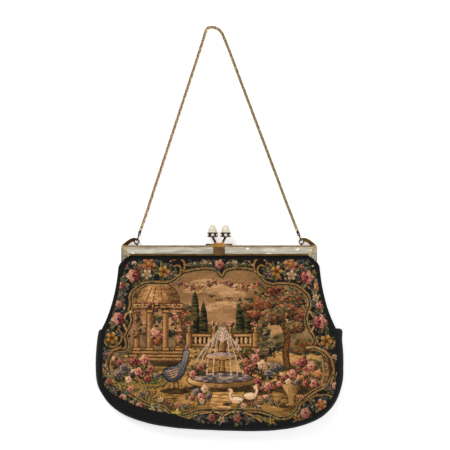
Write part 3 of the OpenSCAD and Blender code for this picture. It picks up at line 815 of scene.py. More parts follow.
def leaf(u, w, angle, length, width, tones):
    i = np.nonzero((np.abs(U - u) < length + 1) & (np.abs(W - w) < length + 1))[0]
    ca, sa = math.cos(math.radians(angle)), math.sin(math.radians(angle))
    along = ((U[i] - u) * ca + (W[i] - w) * sa) / length
    across = -(U[i] - u) * sa + (W[i] - w) * ca
    k = (along > 0) & (along < 1)
    k &= np.abs(across) < width * np.sin(np.pi * np.clip(along, 0, 1)) ** 0.8 + 0.2
    t = 0.3 + 0.35 * (across < 0) + 0.25 * along + 0.25 * (GRAIN[i] - 0.5)
    t = np.where((np.abs(across) < 0.45) & (width > 1.6), 0.05, t)
    thread(i[k], tones, t[k])


def stroke(points, bands, closed=False, straight=False):
    """Lines of thread: bands are (reach, tones) from the widest to the innermost."""
    line = np.asarray(points, float) if straight else smooth_line(points, closed, 6)
    reach = max(b[0] for b in bands)
    low, high = line.min(0) - reach, line.max(0) + reach
    i = np.nonzero(((PLACE > low) & (PLACE < high)).all(1))[0]
    d = nearest(PLACE[i], line, closed)[0]
    for limit, tones in bands:
        k = d < limit
        thread(i[k], tones, 0.2 + 0.6 * GRAIN[i[k]])


def shape(points, tones, t, rim=None, curved=False):
    """A filled shape, t in 0 to 1 or an array over all the stitches, with an outline."""
    loop = smooth_line(points, True, 5) if curved else np.asarray(points, float)
    low, high = loop.min(0) - 1, loop.max(0) + 1
    i = np.nonzero(((PLACE > low) & (PLACE < high)).all(1))[0]
    if not len(i):
        return
    k = inside(PLACE[i], loop)
    value = t[i] if isinstance(t, np.ndarray) else np.full(len(i), t)
    thread(i[k], tones, (value + 0.18 * (STREAK[i] - 0.5))[k])
    if rim is not None:
        k = nearest(PLACE[i], loop, True)[0] < 0.55
        thread(i[k], rim, 0.3 + 0.5 * GRAIN[i[k]])


def box(x0, y0, x1, y1, *look):
    shape([(x0, y0), (x1, y0), (x1, y1), (x0, y1)], *look)


def scroll(points, dark, light, tones=TAN[1:3]):
    """A light line of thread on a wider dark one."""
    stroke(points, [(dark, BROWN[:2]), (light, tones)])


def disc(u, w, ru, rw, tones, t=None, rim=None):
    a = np.linspace(0, 2 * np.pi, 33)[:-1]
    shade = 0.55 - 0.3 * (W - w) / rw - 0.2 * (U - u) / ru if t is None else t
    shape(np.column_stack([u + ru * np.cos(a), w + rw * np.sin(a)]), tones, shade, rim)


LIT = (-0.4, -0.8)


def dabs(count, centre, spread, size, families, seed):
    """Loose foliage or blossom: many short dabs, lighter on the lit side."""
    own = np.random.default_rng(seed)
    for _ in range(count):
        a, r = own.random() * 2 * np.pi, math.sqrt(own.random())
        du, dw = r * math.cos(a), r * math.sin(a)
        tones = families[own.integers(len(families))]
        light = 0.45 + 0.35 * (du * LIT[0] + dw * LIT[1]) + 0.3 * (own.random() - 0.5)
        u, w = centre[0] + du * spread[0], centre[1] + dw * spread[1]
        ru, rw = size * (0.7 + 0.6 * own.random()), size * (0.45 + 0.4 * own.random())
        i = np.nonzero((((U - u) / ru) ** 2 + ((W - w) / rw) ** 2) < 1)[0]
        thread(i, tones, np.full(len(i), light))


# Edge of the picture field, a cartouche of scrolls
CARTOUCHE = [(221.7, 275.5), (225.5, 270.2), (235, 267.8), (246.7, 268.2), (255, 270.6), (260, 274.5), (265, 280.8),
             (272, 283.4), (281.7, 282.8), (295, 284.4), (304, 289.8), (309.6, 297), (311, 305), (308, 312),
             (307, 319), (309, 327), (313, 334), (316, 341), (313, 346), (319, 347.5), (327, 353.5), (331.5, 364),
             (331, 376), (325, 386), (315, 391.5), (306.7, 397.5), (300, 404), (297, 411.5), (288.3, 417.5),
             (278.3, 418.6), (269, 414.5), (257, 411.2), (243.3, 410.8), (232, 410.6), (222, 411.4), (210, 410.6),
             (198, 411.5), (189, 415), (180, 416.6), (170, 413.3), (161.7, 407.5), (148.3, 405), (139, 400.5),
             (130, 395), (122, 389.5), (114, 382.5), (108.6, 373.3), (107.6, 363.3), (110.5, 354), (117, 348.6),
             (125, 347.4), (126, 341.5), (124.5, 336), (127.5, 329.5), (130.8, 322.5), (130.5, 315), (128.6, 309.5),
             (130, 303.3), (129.4, 296.7), (132.5, 290), (140, 284), (148.3, 281.4), (160, 281.6), (167, 281.6),
             (173.3, 279), (178.3, 274.6), (185, 271.2), (196.7, 268.7), (209, 268.2), (217, 270.4)]
LOOP = smooth_line(CARTOUCHE, True, 5)
IN_FIELD = inside(PLACE, LOOP)
TO_LOOP = nearest(PLACE, LOOP, True)[0]


def age(pick, hue, mute, gain, contrast):
    """Draws the threads towards one warm hue, as in old wool."""
    c = COL[pick]
    lum = c @ (0.3, 0.59, 0.11)
    own = c.mean(0) / lum.mean()
    level = gain * (lum.mean() + contrast * (lum - lum.mean()))
    COL[pick] = np.clip(level[:, None] * hue + mute * gain * (c - lum[:, None] * own), 0.02, 1)


def lay_ground():
    thread(np.arange(len(U)), BLACK, GRAIN)


def cypress(x, top, low, wide, tones):
    shape([(x, top), (x + 0.7 * wide, top + 9), (x + wide, (top + low) / 2), (x + 0.8 * wide, low),
           (x - 0.8 * wide, low), (x - wide, (top + low) / 2), (x - 0.7 * wide, top + 9)],
          tones, 0.5 - 0.4 * (U - x) / wide + 1.1 * (STREAK - 0.5) + 0.4 * (GRAIN - 0.5), None, True)


def balustrade(x0, x1, y):
    """A stone railing with urns on its piers."""
    box(x0, y + 10, x1, y + 13, STONE, 0.45, BROWN)
    for x in np.arange(x0 + 2.6, x1 - 2, 4.4):
        disc(x, y + 6.6, 1.25, 3.4, STONE, 0.75 - 0.3 * (U - x))
    box(x0, y, x1, y + 3, STONE, 0.95 - (W - y) / 5, BROWN)
    for x in (x0, x1):
        box(x - 3, y - 1, x + 3, y + 13.5, STONE, 0.8 - (U - x + 3) / 9, BROWN)
        urn = ((-2.6, -7), (2.6, -7), (1.4, -3), (2, -1), (-2, -1), (-1.4, -3))
        shape([(x + u, y + w) for u, w in urn], STONE, 0.8 - (U - x + 2.6) / 8, BROWN)
        dabs(22, (x, y - 9.5), (3.6, 2.6), 1.3, (CRIMSON, PINK, OLIVE, PALE), int(x))


def lay_garden():
    """A garden of the builder's own drawing: summer house, terrace, fountain, tree, birds and beds."""
    up = np.clip((W - 268) / 75, 0, 1)
    sky = 0.25 + 0.5 * up + 0.5 * (CLOUD - 0.5) + 0.2 * (STREAK - 0.5) + 0.15 * (GRAIN - 0.5)
    f = np.nonzero(IN_FIELD)[0]
    thread(f, ("#7f6a48", "#8f7a55", "#a08a63", "#b09b73", "#c0ac84", "#cdbb95"), sky[f])
    for u, w, r in ((205, 283, 15), (217, 289, 19), (232, 294, 14), (193, 291, 10), (225, 305, 16), (206, 309, 12)):
        disc(u, w, r, r * 0.26, ("#ab9872", "#bcaa84", "#ccbd99"), 0.5 - (W - w) / (0.6 * r) + 0.5 * (STREAK - 0.5))
    far = [(100, 336)] + [(x, 328 + 4.5 * math.sin(x / 13) - 3 * math.sin(x / 29 + 1)) for x in range(104, 340, 4)]
    shape(far + [(340, 372), (100, 372)], ("#5c5d40", "#747251", "#8d8863", "#a29a73"),
          0.5 + 0.6 * (CLOUD - 0.5) - (W - 335) / 90)
    for x, r in ((186, 8), (238, 9), (252, 10), (262, 7), (206, 7), (214, 6)):
        dabs(40, (x, 334 - 0.3 * r), (r, r), 2.0, (OLIVE, GREY, SAGE), x)
    for u, w, ru, rw, seed in ((122, 322, 9, 24, 43), (131, 300, 8, 12, 44), (186, 318, 6, 16, 45)):
        dabs(95, (u, w), (ru, rw), 2.0, (OLIVE, GREY, SAGE, RUST), seed)
    for x, top, wide in ((195, 291, 4.6), (203.5, 301, 4.0), (240, 297, 4.4), (248, 307, 3.6)):
        cypress(x, top, 342, wide, ("#232814", "#363c20", "#4d5230", "#686a42"))
    ground = [(100, 358), (150, 352), (190, 347), (222, 346), (262, 348), (300, 354), (340, 352)]
    shape(ground + [(340, 425), (100, 425)], OCHRE,
          0.75 - (W - 352) / 130 + 0.3 * (STREAK - 0.5) + 0.6 * (CLOUD - 0.5) + 0.15 * (GRAIN - 0.5))
    dabs(150, (222, 353), (60, 6), 1.8, (OLIVE, SAGE, OCHRE), 46)
    balustrade(189, 214, 333)
    balustrade(230, 255, 333)
    shape([(206, 420), (213, 392), (214, 378), (231, 378), (234, 392), (246, 420)],
          ("#a58a52", "#bfa468", "#d2ba81", "#dfcb98"), 0.5 + 0.8 * (STREAK - 0.5))
    for k in range(9):
        y = 389 + 3.6 * k
        stroke([(209 - 0.3 * k, y), (222, y + 0.8), (236 + 0.7 * k, y)], [(0.4, ("#8a6d3c", "#9c7f4b"))])
    for k in range(40):
        u, w = 120 + 5.3 * k, 385 + 14 * math.sin(2.1 * k)
        if not 200 < u < 250:
            dabs(9, (u, w), (4, 2.4), 1.4, (OLIVE, SAGE, OCHRE), 140 + k)
    for u, w, ru, rw, tones, seed in (
            (270, 343, 12, 8, (SAGE, OLIVE, GREY), 47), (302, 346, 10, 9, (OLIVE, SAGE, RUST), 48),
            (318, 348, 6, 6, (GREY, OLIVE), 49), (117, 361, 8, 9, (BLUE, GREY, OLIVE), 50),
            (116, 376, 6, 7, (GREY, BLUE, OLIVE), 51), (262, 352, 8, 5, (OLIVE, SAGE, PINK), 37)):
        dabs(70, (u, w), (ru, rw), 1.9, tones, seed)
    for u, w, ru, rw in ((176, 390, 16, 3), (225, 387, 38, 4), (292, 405, 14, 2.6), (288, 367, 14, 3),
                         (247, 399.5, 13, 2.2), (233, 403.5, 10, 2), (140, 378, 22, 5), (300, 389, 26, 5),
                         (258, 391, 14, 3.4), (158, 363, 32, 3)):
        disc(u, w, ru, rw, ("#41391d", "#544a27", "#6a5d33"), 0.5 + 0.8 * (STREAK - 0.5) + 0.4 * (GRAIN - 0.5))
    # Summer house with a dome on the left
    dabs(60, (158, 325), (22, 17), 2.4, (OLIVE, GREY), 41)
    shape([(136, 304), (137, 296), (141, 289), (149, 284), (158, 282), (167, 284), (175, 289), (179, 296),
           (180, 304)], STONE, 0.75 - np.abs(U - 152) / 45 + 0.25 * (STREAK - 0.5), BROWN)
    for x in (145.5, 153, 163, 171):
        stroke([(x, 303), (158 + 0.45 * (x - 158), 286)], [(0.55, RUST)], straight=True)
    disc(158, 280.6, 2.2, 2.2, TAN, None, BROWN)
    box(133, 303, 183, 308.5, STONE, 0.85 - (W - 303) / 12, ("#6d2f22", "#8c4a34"))
    for x in (137, 150, 166, 179):
        box(x - 2.7, 308.5, x + 2.7, 350, STONE, 0.8 - (U - x + 2.7) / 7.5, ("#6d2f22", "#8f4c36", "#a8694a"))
        shape([(x - 3.8, 309), (x + 3.8, 309), (x + 3, 312.5), (x - 3, 312.5)], TAN, 0.7, BROWN)
        box(x - 3.8, 347, x + 3.8, 350, TAN, 0.6, BROWN)
    for k in range(3):
        y = 350 + 3.6 * k
        box(132 - 3 * k, y, 184 + 3 * k, y + 3.6, STONE, 0.85 - 0.22 * (W - y) - 0.05 * k, BROWN)
    disc(158, 341, 4.2, 3.6, RUST, None, BROWN)
    dabs(46, (158, 333), (7.5, 6.5), 1.7, (PINK, CRIMSON, SAGE, PALE), 52)
    for x, y, seed in ((137, 330, 53), (138, 314, 54), (179, 336, 55), (178, 318, 56), (150, 305, 57),
                       (168, 306, 58)):
        dabs(34, (x, y), (4.4, 9) if y > 310 else (12, 3), 1.25, (OLIVE, SAGE, PINK, CRIMSON, OLIVE), seed)
    # Tree on the right
    for line, wide in (([(287, 366), (285, 350), (287, 335), (281, 318), (276, 304)], 3.4),
                       ([(286, 337), (293, 322), (298, 306)], 2.0), ([(284, 327), (272, 316), (262, 306)], 1.7),
                       ([(280, 316), (283, 302), (288, 292)], 1.4)):
        stroke(line, [(wide, BROWN), (wide * 0.55, ("#5b3f24", "#7c5a34", "#96734a"))])
    crowns = ((262, 303, 14), (276, 296, 17), (292, 298, 15), (300, 313, 11), (268, 316, 12), (285, 309, 14),
              (253, 313, 9), (296, 326, 8), (246, 305, 7), (271, 288, 10))
    for k, (u, w, r) in enumerate(crowns):
        dabs(70, (u, w), (1.12 * r, 0.86 * r), 2.1, (OLIVE, OLIVE, SAGE, GREY), 60 + k)
    for k, (u, w, r) in enumerate(crowns):
        tones = (RUST, DUSTY, OLIVE, SAGE, SAGE) if k % 3 else (RUST, RUST, DUSTY, OLIVE)
        dabs(95, (u + 1, w + 1), (0.8 * r, 0.6 * r), 1.5, tones, 80 + k)
    # Fountain in the middle
    shape([(219.5, 340), (224.5, 340), (226, 352), (223.6, 356), (225, 372), (219, 372), (220.4, 356), (218, 352)],
          STONE, 0.75 - (U - 218) / 12, BROWN)
    disc(222, 379, 35, 8.4, STONE, 0.62 - (W - 379) / 22 - (U - 222) / 120, BROWN)
    disc(222, 376.6, 31, 5.4, BLUE[1:], 0.5 + 0.9 * (STREAK - 0.5), BROWN)
    disc(222, 355, 16.5, 4.2, STONE, 0.7 - (W - 355) / 11 - (U - 222) / 60, BROWN)
    disc(222, 353.6, 14, 2.2, BLUE, 0.72 + 0.6 * (STREAK - 0.5))
    for s in (-1, 1):
        for k in range(4):
            x1 = 222 + s * (9 + 6.2 * k)
            top = 333 - 2 * (3 - k) + 1.5 * k
            stroke([(222, 341), (222 + s * (2.5 + 2.2 * k), top), (x1 - s * 1.5, 355 + 2 * k), (x1, 374)],
                   [(0.6, ("#8f9fa2", "#b6c0bf", "#dcdfd6"))])
    stroke([(222, 340), (222, 327)], [(0.9, ("#a9bcc0", "#d2dad6"))])
    # Peacock on the left and its tail
    for k, end in enumerate(((120, 392), (127, 399), (136, 403.5), (147, 405), (113, 383))):
        stroke([(170, 377), (156, 378 + 1.6 * k), end], [(2.6, ("#2f4a36", "#4d6b45", "#77904f")),
                                                        (1.0, ("#7c7436", "#a89a4a"))])
    own = np.random.default_rng(8)
    for k in range(26):
        a, r = math.radians(145 + 38 * own.random()), 24 + 34 * own.random()
        u, w = 172 + r * math.cos(a), 374 + r * math.sin(a) * 0.95
        disc(u, w, 1.9, 1.6, ("#8a7a35", "#b49f4d"), 0.6)
        disc(u, w, 1.05, 0.9, ("#27394a", "#44606c"), 0.6)
    shape([(163, 372), (168, 366), (175, 365), (181, 360), (183, 352), (186.5, 349), (190, 351), (189, 355),
           (187, 363), (184, 373), (177, 380), (168, 380)], ("#28343f", "#3f5361", "#5b7480", "#8499a0"),
          0.95 - (W - 350) / 50 + 0.4 * (GRAIN - 0.5), ("#1b2838", "#2a3d50"), True)
    for k in range(4):
        stroke([(166 + 1.5 * k, 370 + 2.2 * k), (172 + k, 369.5 + 2 * k), (178, 367 + 2 * k)],
               [(0.45, (BLUE[3:], TAN[2:])[k % 2])])
    stroke([(190, 352), (193, 353.4)], [(0.7, TAN)], straight=True)
    stroke([(187, 349), (185.5, 344.5)], [(0.5, BLUE)], straight=True)
    stroke([(188, 349), (188.6, 344)], [(0.5, BLUE)], straight=True)
    for x in (174, 178):
        stroke([(x, 379), (x + 0.6, 389)], [(0.7, BROWN)], straight=True)
    # Flower beds
    for u, w, r, tones, seed in (
            (141, 366, 14, (PINK, CRIMSON, OLIVE), 21), (126, 372, 11, (BLUE, GREY, PALE), 22),
            (119, 361, 9, (OLIVE, SAGE, PINK), 23), (198, 369, 9, (OLIVE, SAGE, DUSTY), 24),
            (254, 365, 13, (PINK, DUSTY, OLIVE), 25), (271, 371, 14, (BLUE, TEAL, PALE), 26),
            (305, 367, 14, (CRIMSON, PINK, OLIVE), 27), (319, 365, 10, (OLIVE, SAGE, BLUE), 28),
            (289, 378, 12, (YELLOW, PEACH, OLIVE), 29), (264, 385, 10, (CRIMSON, PINK, SAGE), 30),
            (316, 381, 10, (PINK, DUSTY, OLIVE), 31), (247, 352, 7, (OLIVE, SAGE, RUST), 32)):
        dabs(70, (u, w), (r, 0.66 * r), 2.0, tones + (OLIVE,), seed)
    for k, (u, w, r, tones) in enumerate((
            (134, 361, 5.0, CRIMSON), (145, 359, 5.6, PINK), (151, 368, 4.6, DUSTY), (139, 371, 5.0, PINK),
            (124, 367, 4.2, BLUE), (118, 374, 4.4, BLUE), (129, 379, 3.8, PALE), (246, 361, 4.8, DUSTY),
            (255, 357, 5.0, PINK), (262, 364, 5.2, PALE), (268, 372, 4.8, BLUE), (277, 366, 4.8, BLUE),
            (258, 381, 5.0, CRIMSON), (268, 385, 4.4, PINK), (302, 362, 5.4, CRIMSON), (311, 366, 5.0, PINK),
            (306, 375, 4.6, DUSTY), (318, 373, 4.4, PEACH), (313, 383, 4.8, PINK), (322, 383, 3.8, CRIMSON),
            (197, 391, 4.6, BLUE), (205, 388, 4.4, PALE), (201, 396, 4.4, PINK), (192, 397, 3.8, DUSTY),
            (209, 395, 3.6, BLUE), (266, 397, 4.2, PINK), (273, 401, 4.0, BLUE), (259, 403, 3.6, PALE),
            (247, 369, 4.2, CRIMSON), (193, 373, 4.0, PINK), (201, 366, 4.2, DUSTY), (157, 375, 3.6, BLUE),
            (148, 378, 3.8, CRIMSON), (131, 388, 3.6, PINK))):
        leaf(u, w, 30 + 70 * k, 1.7 * r, 1.6, (OLIVE, SAGE, GREY)[k % 3])
        leaf(u, w, 160 + 50 * k, 1.6 * r, 1.5, (SAGE, OLIVE)[k % 2])
        rose(u, w, r, tones, 1.7 * k)
    # Urn of flowers on the right and two white birds
    shape([(281, 383), (301, 383), (299, 388), (295, 395), (294, 401), (298, 405), (284, 405), (288, 401), (287, 395),
           (283, 388)], STONE, 0.85 - (U - 281) / 26, BROWN)
    for u, w, r, tones in ((284, 378, 4.6, CRIMSON), (292, 373.5, 5.2, PINK), (300, 378, 4.6, PEACH),
                           (288, 381, 3.6, PALE), (296, 381.5, 3.6, BLUE), (279, 383, 3.4, PINK),
                           (305, 383, 3.4, CRIMSON)):
        leaf(u, w, 200 if u < 292 else -20, r * 1.9, 1.9, OLIVE)
        rose(u, w, r, tones, u)
    for s in (-1, 1):
        swag = [(219.8 + s * (5 + 40 * t), 281.5 + 26 * t * (1 - t) - 1.5 * t) for t in np.linspace(0, 1, 15)]
        stroke(swag, [(0.8, OLIVE)])
        for k, (u, w) in enumerate(swag):
            leaf(u, w, 60 + 95 * k, 4.4, 1.1, (OLIVE, SAGE, GREY)[k % 3])
            leaf(u, w, 235 + 95 * k, 4.0, 1.0, (SAGE, OLIVE)[k % 2])
            if k % 2 == 0:
                rose(u, w, 3.6 - 0.16 * abs(k - 7), (PINK, CRIMSON, PALE, PEACH, DUSTY)[k // 2 % 5], k)
            else:
                blossom(u, w + 1.4, 1.9, (BLUE, PALE, YELLOW)[k // 2 % 3])
    for u, w in ((212, 297), (219, 301), (229, 299)):
        stroke([(u - 3.2, w - 1), (u - 1.2, w - 1.6), (u, w), (u + 1.2, w - 1.6), (u + 3.2, w - 1)], [(0.5, BROWN)])
    for u, w, s in ((250, 395, 1), (236, 399, -1)):
        shape([(u - 7 * s, w - 1), (u - 2 * s, w - 3.6), (u + 4 * s, w - 3), (u + 6 * s, w + 1), (u + 2 * s, w + 3.6),
               (u - 4 * s, w + 3)], PALE, 0.8 - (W - w) / 12 + 0.4 * (STREAK - 0.5), ("#7d705b", "#8f826b"), True)
        stroke([(u + 5 * s, w - 0.5), (u + 6.4 * s, w - 6), (u + 4.4 * s, w - 9), (u + 6.6 * s, w - 10.4)],
               [(1.6, PALE[:2]), (1.0, PALE[2:])])
        stroke([(u + 7 * s, w - 10.2), (u + 8.6 * s, w - 9.4)], [(0.6, ("#a5562c", "#b9683a"))], straight=True)
    for k in range(22):
        u = 128 + 8.2 * k
        if 205 < u < 232 or abs(u - 291) < 9:
            continue
        w = 398 + 3.5 * math.sin(u / 9) + (5 if 160 < u < 280 else -3)
        for j in range(3):
            leaf(u + 1.5 * j - 1.5, w + 3, -115 + 25 * j, 6.5, 1.2, (OLIVE, SAGE, GREY)[(k + j) % 3])
        blossom(u, w - 1.6, 2.7, (CRIMSON, PINK, BLUE, YELLOW, PALE)[k % 5])
    age(IN_FIELD, (1.287, 0.936, 0.585), 0.8, 0.8, 1.3)
    shade = np.nonzero(IN_FIELD & (TO_LOOP < 5.0))[0]
    COL[shade] *= (0.78 + 0.22 * TO_LOOP[shade] / 5.0)[:, None]
    outside = np.nonzero(~IN_FIELD)[0]
    thread(outside, BLACK, GRAIN[outside])


def lay_border():
    """Garlands and scrolls on the black ground around the field."""
    line = ("#7a5f36", "#937545", "#ab8d5a")
    for place, reach, tones in ((3.0, 0.45, ("#86683c", "#a07e4d")), (1.9, 0.6, ("#3c2417", "#4d3020"))):
        inset = np.nonzero(IN_FIELD & (np.abs(TO_LOOP - place) < reach))[0]
        thread(inset, tones, GRAIN[inset])
    stroke(CARTOUCHE, [(1.7, ("#2b1e11", "#3b2a17")), (0.95, line)], True)
    own = np.random.default_rng(29)
    room = np.nonzero(~IN_FIELD & (TO_LOOP > 3.4) & (EDGE > 4.5) & (W > 260) & ((W < 404) | (EDGE > 8)))[0]
    room = room[(U[room] > 190) | (W[room] < 396) | (EDGE[room] > 14)]
    for i in own.permutation(room)[:300]:
        tones = (GREY, TEAL, OLIVE, SAGE, GREY)[own.integers(5)]
        leaf(U[i], W[i], own.random() * 360, 2.6 + 1.8 * own.random(), 0.7 + 0.35 * own.random(), tones)
    for i in own.permutation(room)[:120]:
        tones = (PINK, PALE, YELLOW, BLUE, CRIMSON, PEACH)[own.integers(6)]
        disc(U[i], W[i], 0.85, 0.85, tones, 0.6)
    # Double hooks and thin leaves at the top
    middle = 219.2
    hooks = ((45.8, 260.2), (42.4, 258.2), (38.4, 258.8), (35.4, 262), (34.6, 266.4), (36, 271.6))
    curls = ((45.2, 266.4), (41.6, 265.2), (38.9, 267.4), (38.6, 271.8), (41, 276))
    for s in (-1, 1):
        hook = [(middle + s * u, w) for u, w in hooks]
        curl = [(middle + s * u, w) for u, w in curls]
        shape(hook + curl[::-1], ("#1d150c", "#2a1f12"), 0.5, None, True)
        scroll(hook, 1.6, 0.95)
        scroll(curl, 1.4, 0.8)
        for k in range(10):
            u = middle + s * (7.2 + 2.6 * k)
            leaf(u, 263.8 + 0.8 * math.sin(1.7 * k), -90 + s * 60 + 6 * k * s, 3.6, 0.7,
                 (PALE[:3], GREY, SAGE)[k % 3])
            leaf(u, 264.2, 90 - s * 40, 2.8, 0.8, (OLIVE, GREY)[k % 2])
    scroll([(260, 275), (265.6, 277), (273, 279), (280.5, 277)], 1.2, 0.7)
    # Bulges at the sides: a tan band, a brown crescent in it and ring scrolls above
    left = [(121, 346.6), (112.4, 350), (107.6, 357), (106.6, 365), (109, 374), (114.6, 381.6)]
    right = [(306.3, 347.2), (313.3, 346.2), (323.5, 350), (330.4, 357.4), (333.2, 368.3), (332, 378.5),
             (328.6, 385.4)]
    for band in (left, right):
        scroll(band, 2.0, 1.15)
    crescent = [(320.5, 354.5), (326, 359), (329, 367), (328.6, 376), (325.2, 383.6), (321.6, 384.4),
                (323, 375), (322.4, 364)]
    shape(crescent, BROWN[1:], 0.75 - np.abs(U - 326.5) / 9 + 0.6 * (STREAK - 0.5), BROWN[:2], True)
    stroke(crescent[4:] + crescent[:1], [(0.8, TAN[:2]), (0.4, TAN[1:3])])
    for ring in ([(104.6, 340.6), (107.6, 345), (112.6, 346.4), (118, 344.4), (121.6, 339.4), (122.4, 333.4),
                  (119, 329.4)],
                 [(316.4, 336.6), (317.6, 342), (322.6, 346.6), (329.2, 347.6), (333.4, 344.4), (334.4, 339)]):
        scroll(ring, 1.5, 0.85)
    for points in ([(131.5, 311), (125.5, 315), (124, 323), (127, 330)],
                   [(309, 311), (313.5, 316), (314, 324), (311, 331)]):
        stroke(points, [(1.5, TAN[:2]), (0.7, TAN[2:])])
    scroll([(309, 398.6), (314, 395.4), (321, 394.2), (328.6, 395), (333.4, 398)], 1.5, 0.8)
    scroll([(112, 386.6), (117, 389.6), (121, 386.6), (118.6, 383.4)], 1.3, 0.7)
    scroll([(303, 405), (303.4, 401.4), (306, 399.2), (309.2, 399.8), (310.6, 403), (309.6, 406)], 1.3, 0.7)
    # Black lobes with a light edge at the bottom
    lobe = [(183, 421), (190, 417), (197, 414), (204, 412.2), (213, 411), (219, 412), (224, 414.4), (229, 411.8),
            (236, 410.8), (246, 412.4), (254, 415.6), (261, 420.6), (255, 426), (222, 427.5), (190, 426)]
    shape(lobe, BLACK, 0.5, None, True)
    scroll(lobe[:12], 1.5, 0.8, TAN[2:])
    dabs(60, (177, 413.4), (6.4, 4.6), 1.3, (("#4f5220", "#7d7a2e", "#a89c48"), YELLOW, OLIVE), 33)
    dabs(26, (334.6, 357.6), (3.0, 3.8), 0.8, (PALE, PINK, GREY), 34)
    dabs(26, (135, 263.6), (4.4, 2.2), 1.0, (PALE, BLUE, GREY), 35)
    dabs(30, (104.4, 365.4), (2.6, 3.4), 0.9, (BLUE, GREY, PALE), 36)
    flowers = [
        # Upper left and upper right
        (133.5, 275.8, 7.4, "rose", CRIMSON, PINK), (148.6, 263.8, 6.8, "open", PEACH),
        (146.8, 274.2, 4.8, "open", PALE), (163.8, 271.5, 5.7, "open", YELLOW), (171.2, 274, 3.4, "open", PURPLE),
        (140.6, 267, 2.8, "open", DUSTY), (307, 277.4, 7.4, "rose", CRIMSON, PINK),
        (290.5, 264.6, 6.6, "open", PEACH), (291.6, 275.2, 4.8, "open", PALE), (276.6, 271.2, 5.7, "open", YELLOW),
        (269.8, 274, 3.2, "open", PURPLE), (300.6, 267, 3.0, "open", DUSTY), (219.4, 264.4, 5.2, "rose", PINK),
        (205, 262.5, 2.2, "open", PALE), (234, 262.5, 2.2, "open", PALE),
        # Left side
        (121.5, 285.5, 4.2, "rose", CRIMSON, PINK), (120, 295, 2.6, "open", BLUE), (119, 304, 4.0, "rose", PINK),
        (118.5, 318.6, 7.0, "rose", CRIMSON, PINK), (112, 337.4, 5.8, "open", YELLOW),
        (106, 353.4, 2.9, "open", PURPLE), (103.8, 371.2, 2.8, "open", PEACH), (109.4, 381, 4.0, "rose", DUSTY),
        (114, 390.5, 2.8, "open", BLUE), (123.3, 397, 4.4, "rose", PALE, CRIMSON), (139.4, 405.8, 4.7, "rose", PINK),
        (132, 402, 2.6, "open", PALE), (152.4, 409, 3.2, "open", PALE), (160, 411.6, 3.6, "rose", PINK),
        # Right side
        (317.4, 286.6, 4.2, "rose", PEACH), (315.5, 297.5, 3.4, "open", PALE), (319, 305.5, 4.0, "rose", PINK),
        (319.5, 321.5, 7.6, "rose", CRIMSON, PINK), (325.8, 340.4, 5.9, "open", YELLOW),
        (338.2, 373.8, 3.0, "rose", PEACH), (335.6, 385.4, 4.8, "rose", PINK), (330, 388.4, 2.8, "open", PURPLE),
        (321, 404, 5.6, "open", PEACH), (305.4, 412.6, 6.0, "rose", PINK, DUSTY), (296.5, 417, 3.2, "open", YELLOW),
        # Bottom
        (211.8, 417, 4.9, "rose", DUSTY), (237.4, 417.4, 4.9, "rose", DUSTY), (221.4, 419, 3.5, "open", PALE),
        (199, 418.5, 3.0, "open", BLUE), (249, 418.5, 3.0, "open", BLUE), (271, 420.5, 3.4, "open", YELLOW),
    ]
    for u, w, r, *_ in flowers:
        for k in range(5):
            a = own.random() * 60 + 72 * k
            ca, sa = math.cos(math.radians(a)), math.sin(math.radians(a))
            tones = (GREY, TEAL, OLIVE, SAGE)[own.integers(4)]
            leaf(u + 0.7 * r * ca, w + 0.7 * r * sa, a + 20, 0.55 * r + 3.0, 0.16 * r + 0.9, tones)
    for u, w, r, kind, tones, *other in flowers:
        if kind == "rose":
            rose(u, w, r, tones, 3.2 if u < 219 else 0.0, *other)
        else:
            blossom(u, w, r, tones, YELLOW if tones is not YELLOW else BROWN, 0.1 * u)
    for k in range(6):
        tones = (SAGE, ("#6f6a2c", "#9a9440", "#bdb35c"))[k % 2]
        for s in (-1, 1):
            leaf(224 + s * (30 + 3.0 * k), 414.5 + 0.5 * k, 90 - s * (70 - 12 * k), 6.5, 1.6, tones)
    age(np.nonzero((~IN_FIELD) & (COL.max(1) > 0.13))[0], (1.225, 0.945, 0.68), 0.85, 0.82, 1.15)
    low_left = np.clip((200 - U) / 25, 0, 1) * np.clip((W - 385) / 15, 0, 1)
    rim = np.nonzero(EDGE < 3.8 + 1.4 * (U < 219) * (W > 330) + 7.5 * low_left)[0]
    thread(rim, BLACK, GRAIN[rim])
    under = np.nonzero(W < 259.4)[0]
    thread(under, BLACK, GRAIN[under])


lay_ground()
lay_garden()
lay_border()
# The border's threads are a little darker and warmer than the field's, which is lightest low down
COL[~IN_FIELD] *= (0.94, 0.92, 0.86)
COL[IN_FIELD] *= np.interp(W[IN_FIELD], (275, 395), (0.94, 1.05))[:, None]
COL *= (1 + 0.055 * rng.standard_normal(len(U)))[:, None]
COL = np.clip(COL, 0, 1)


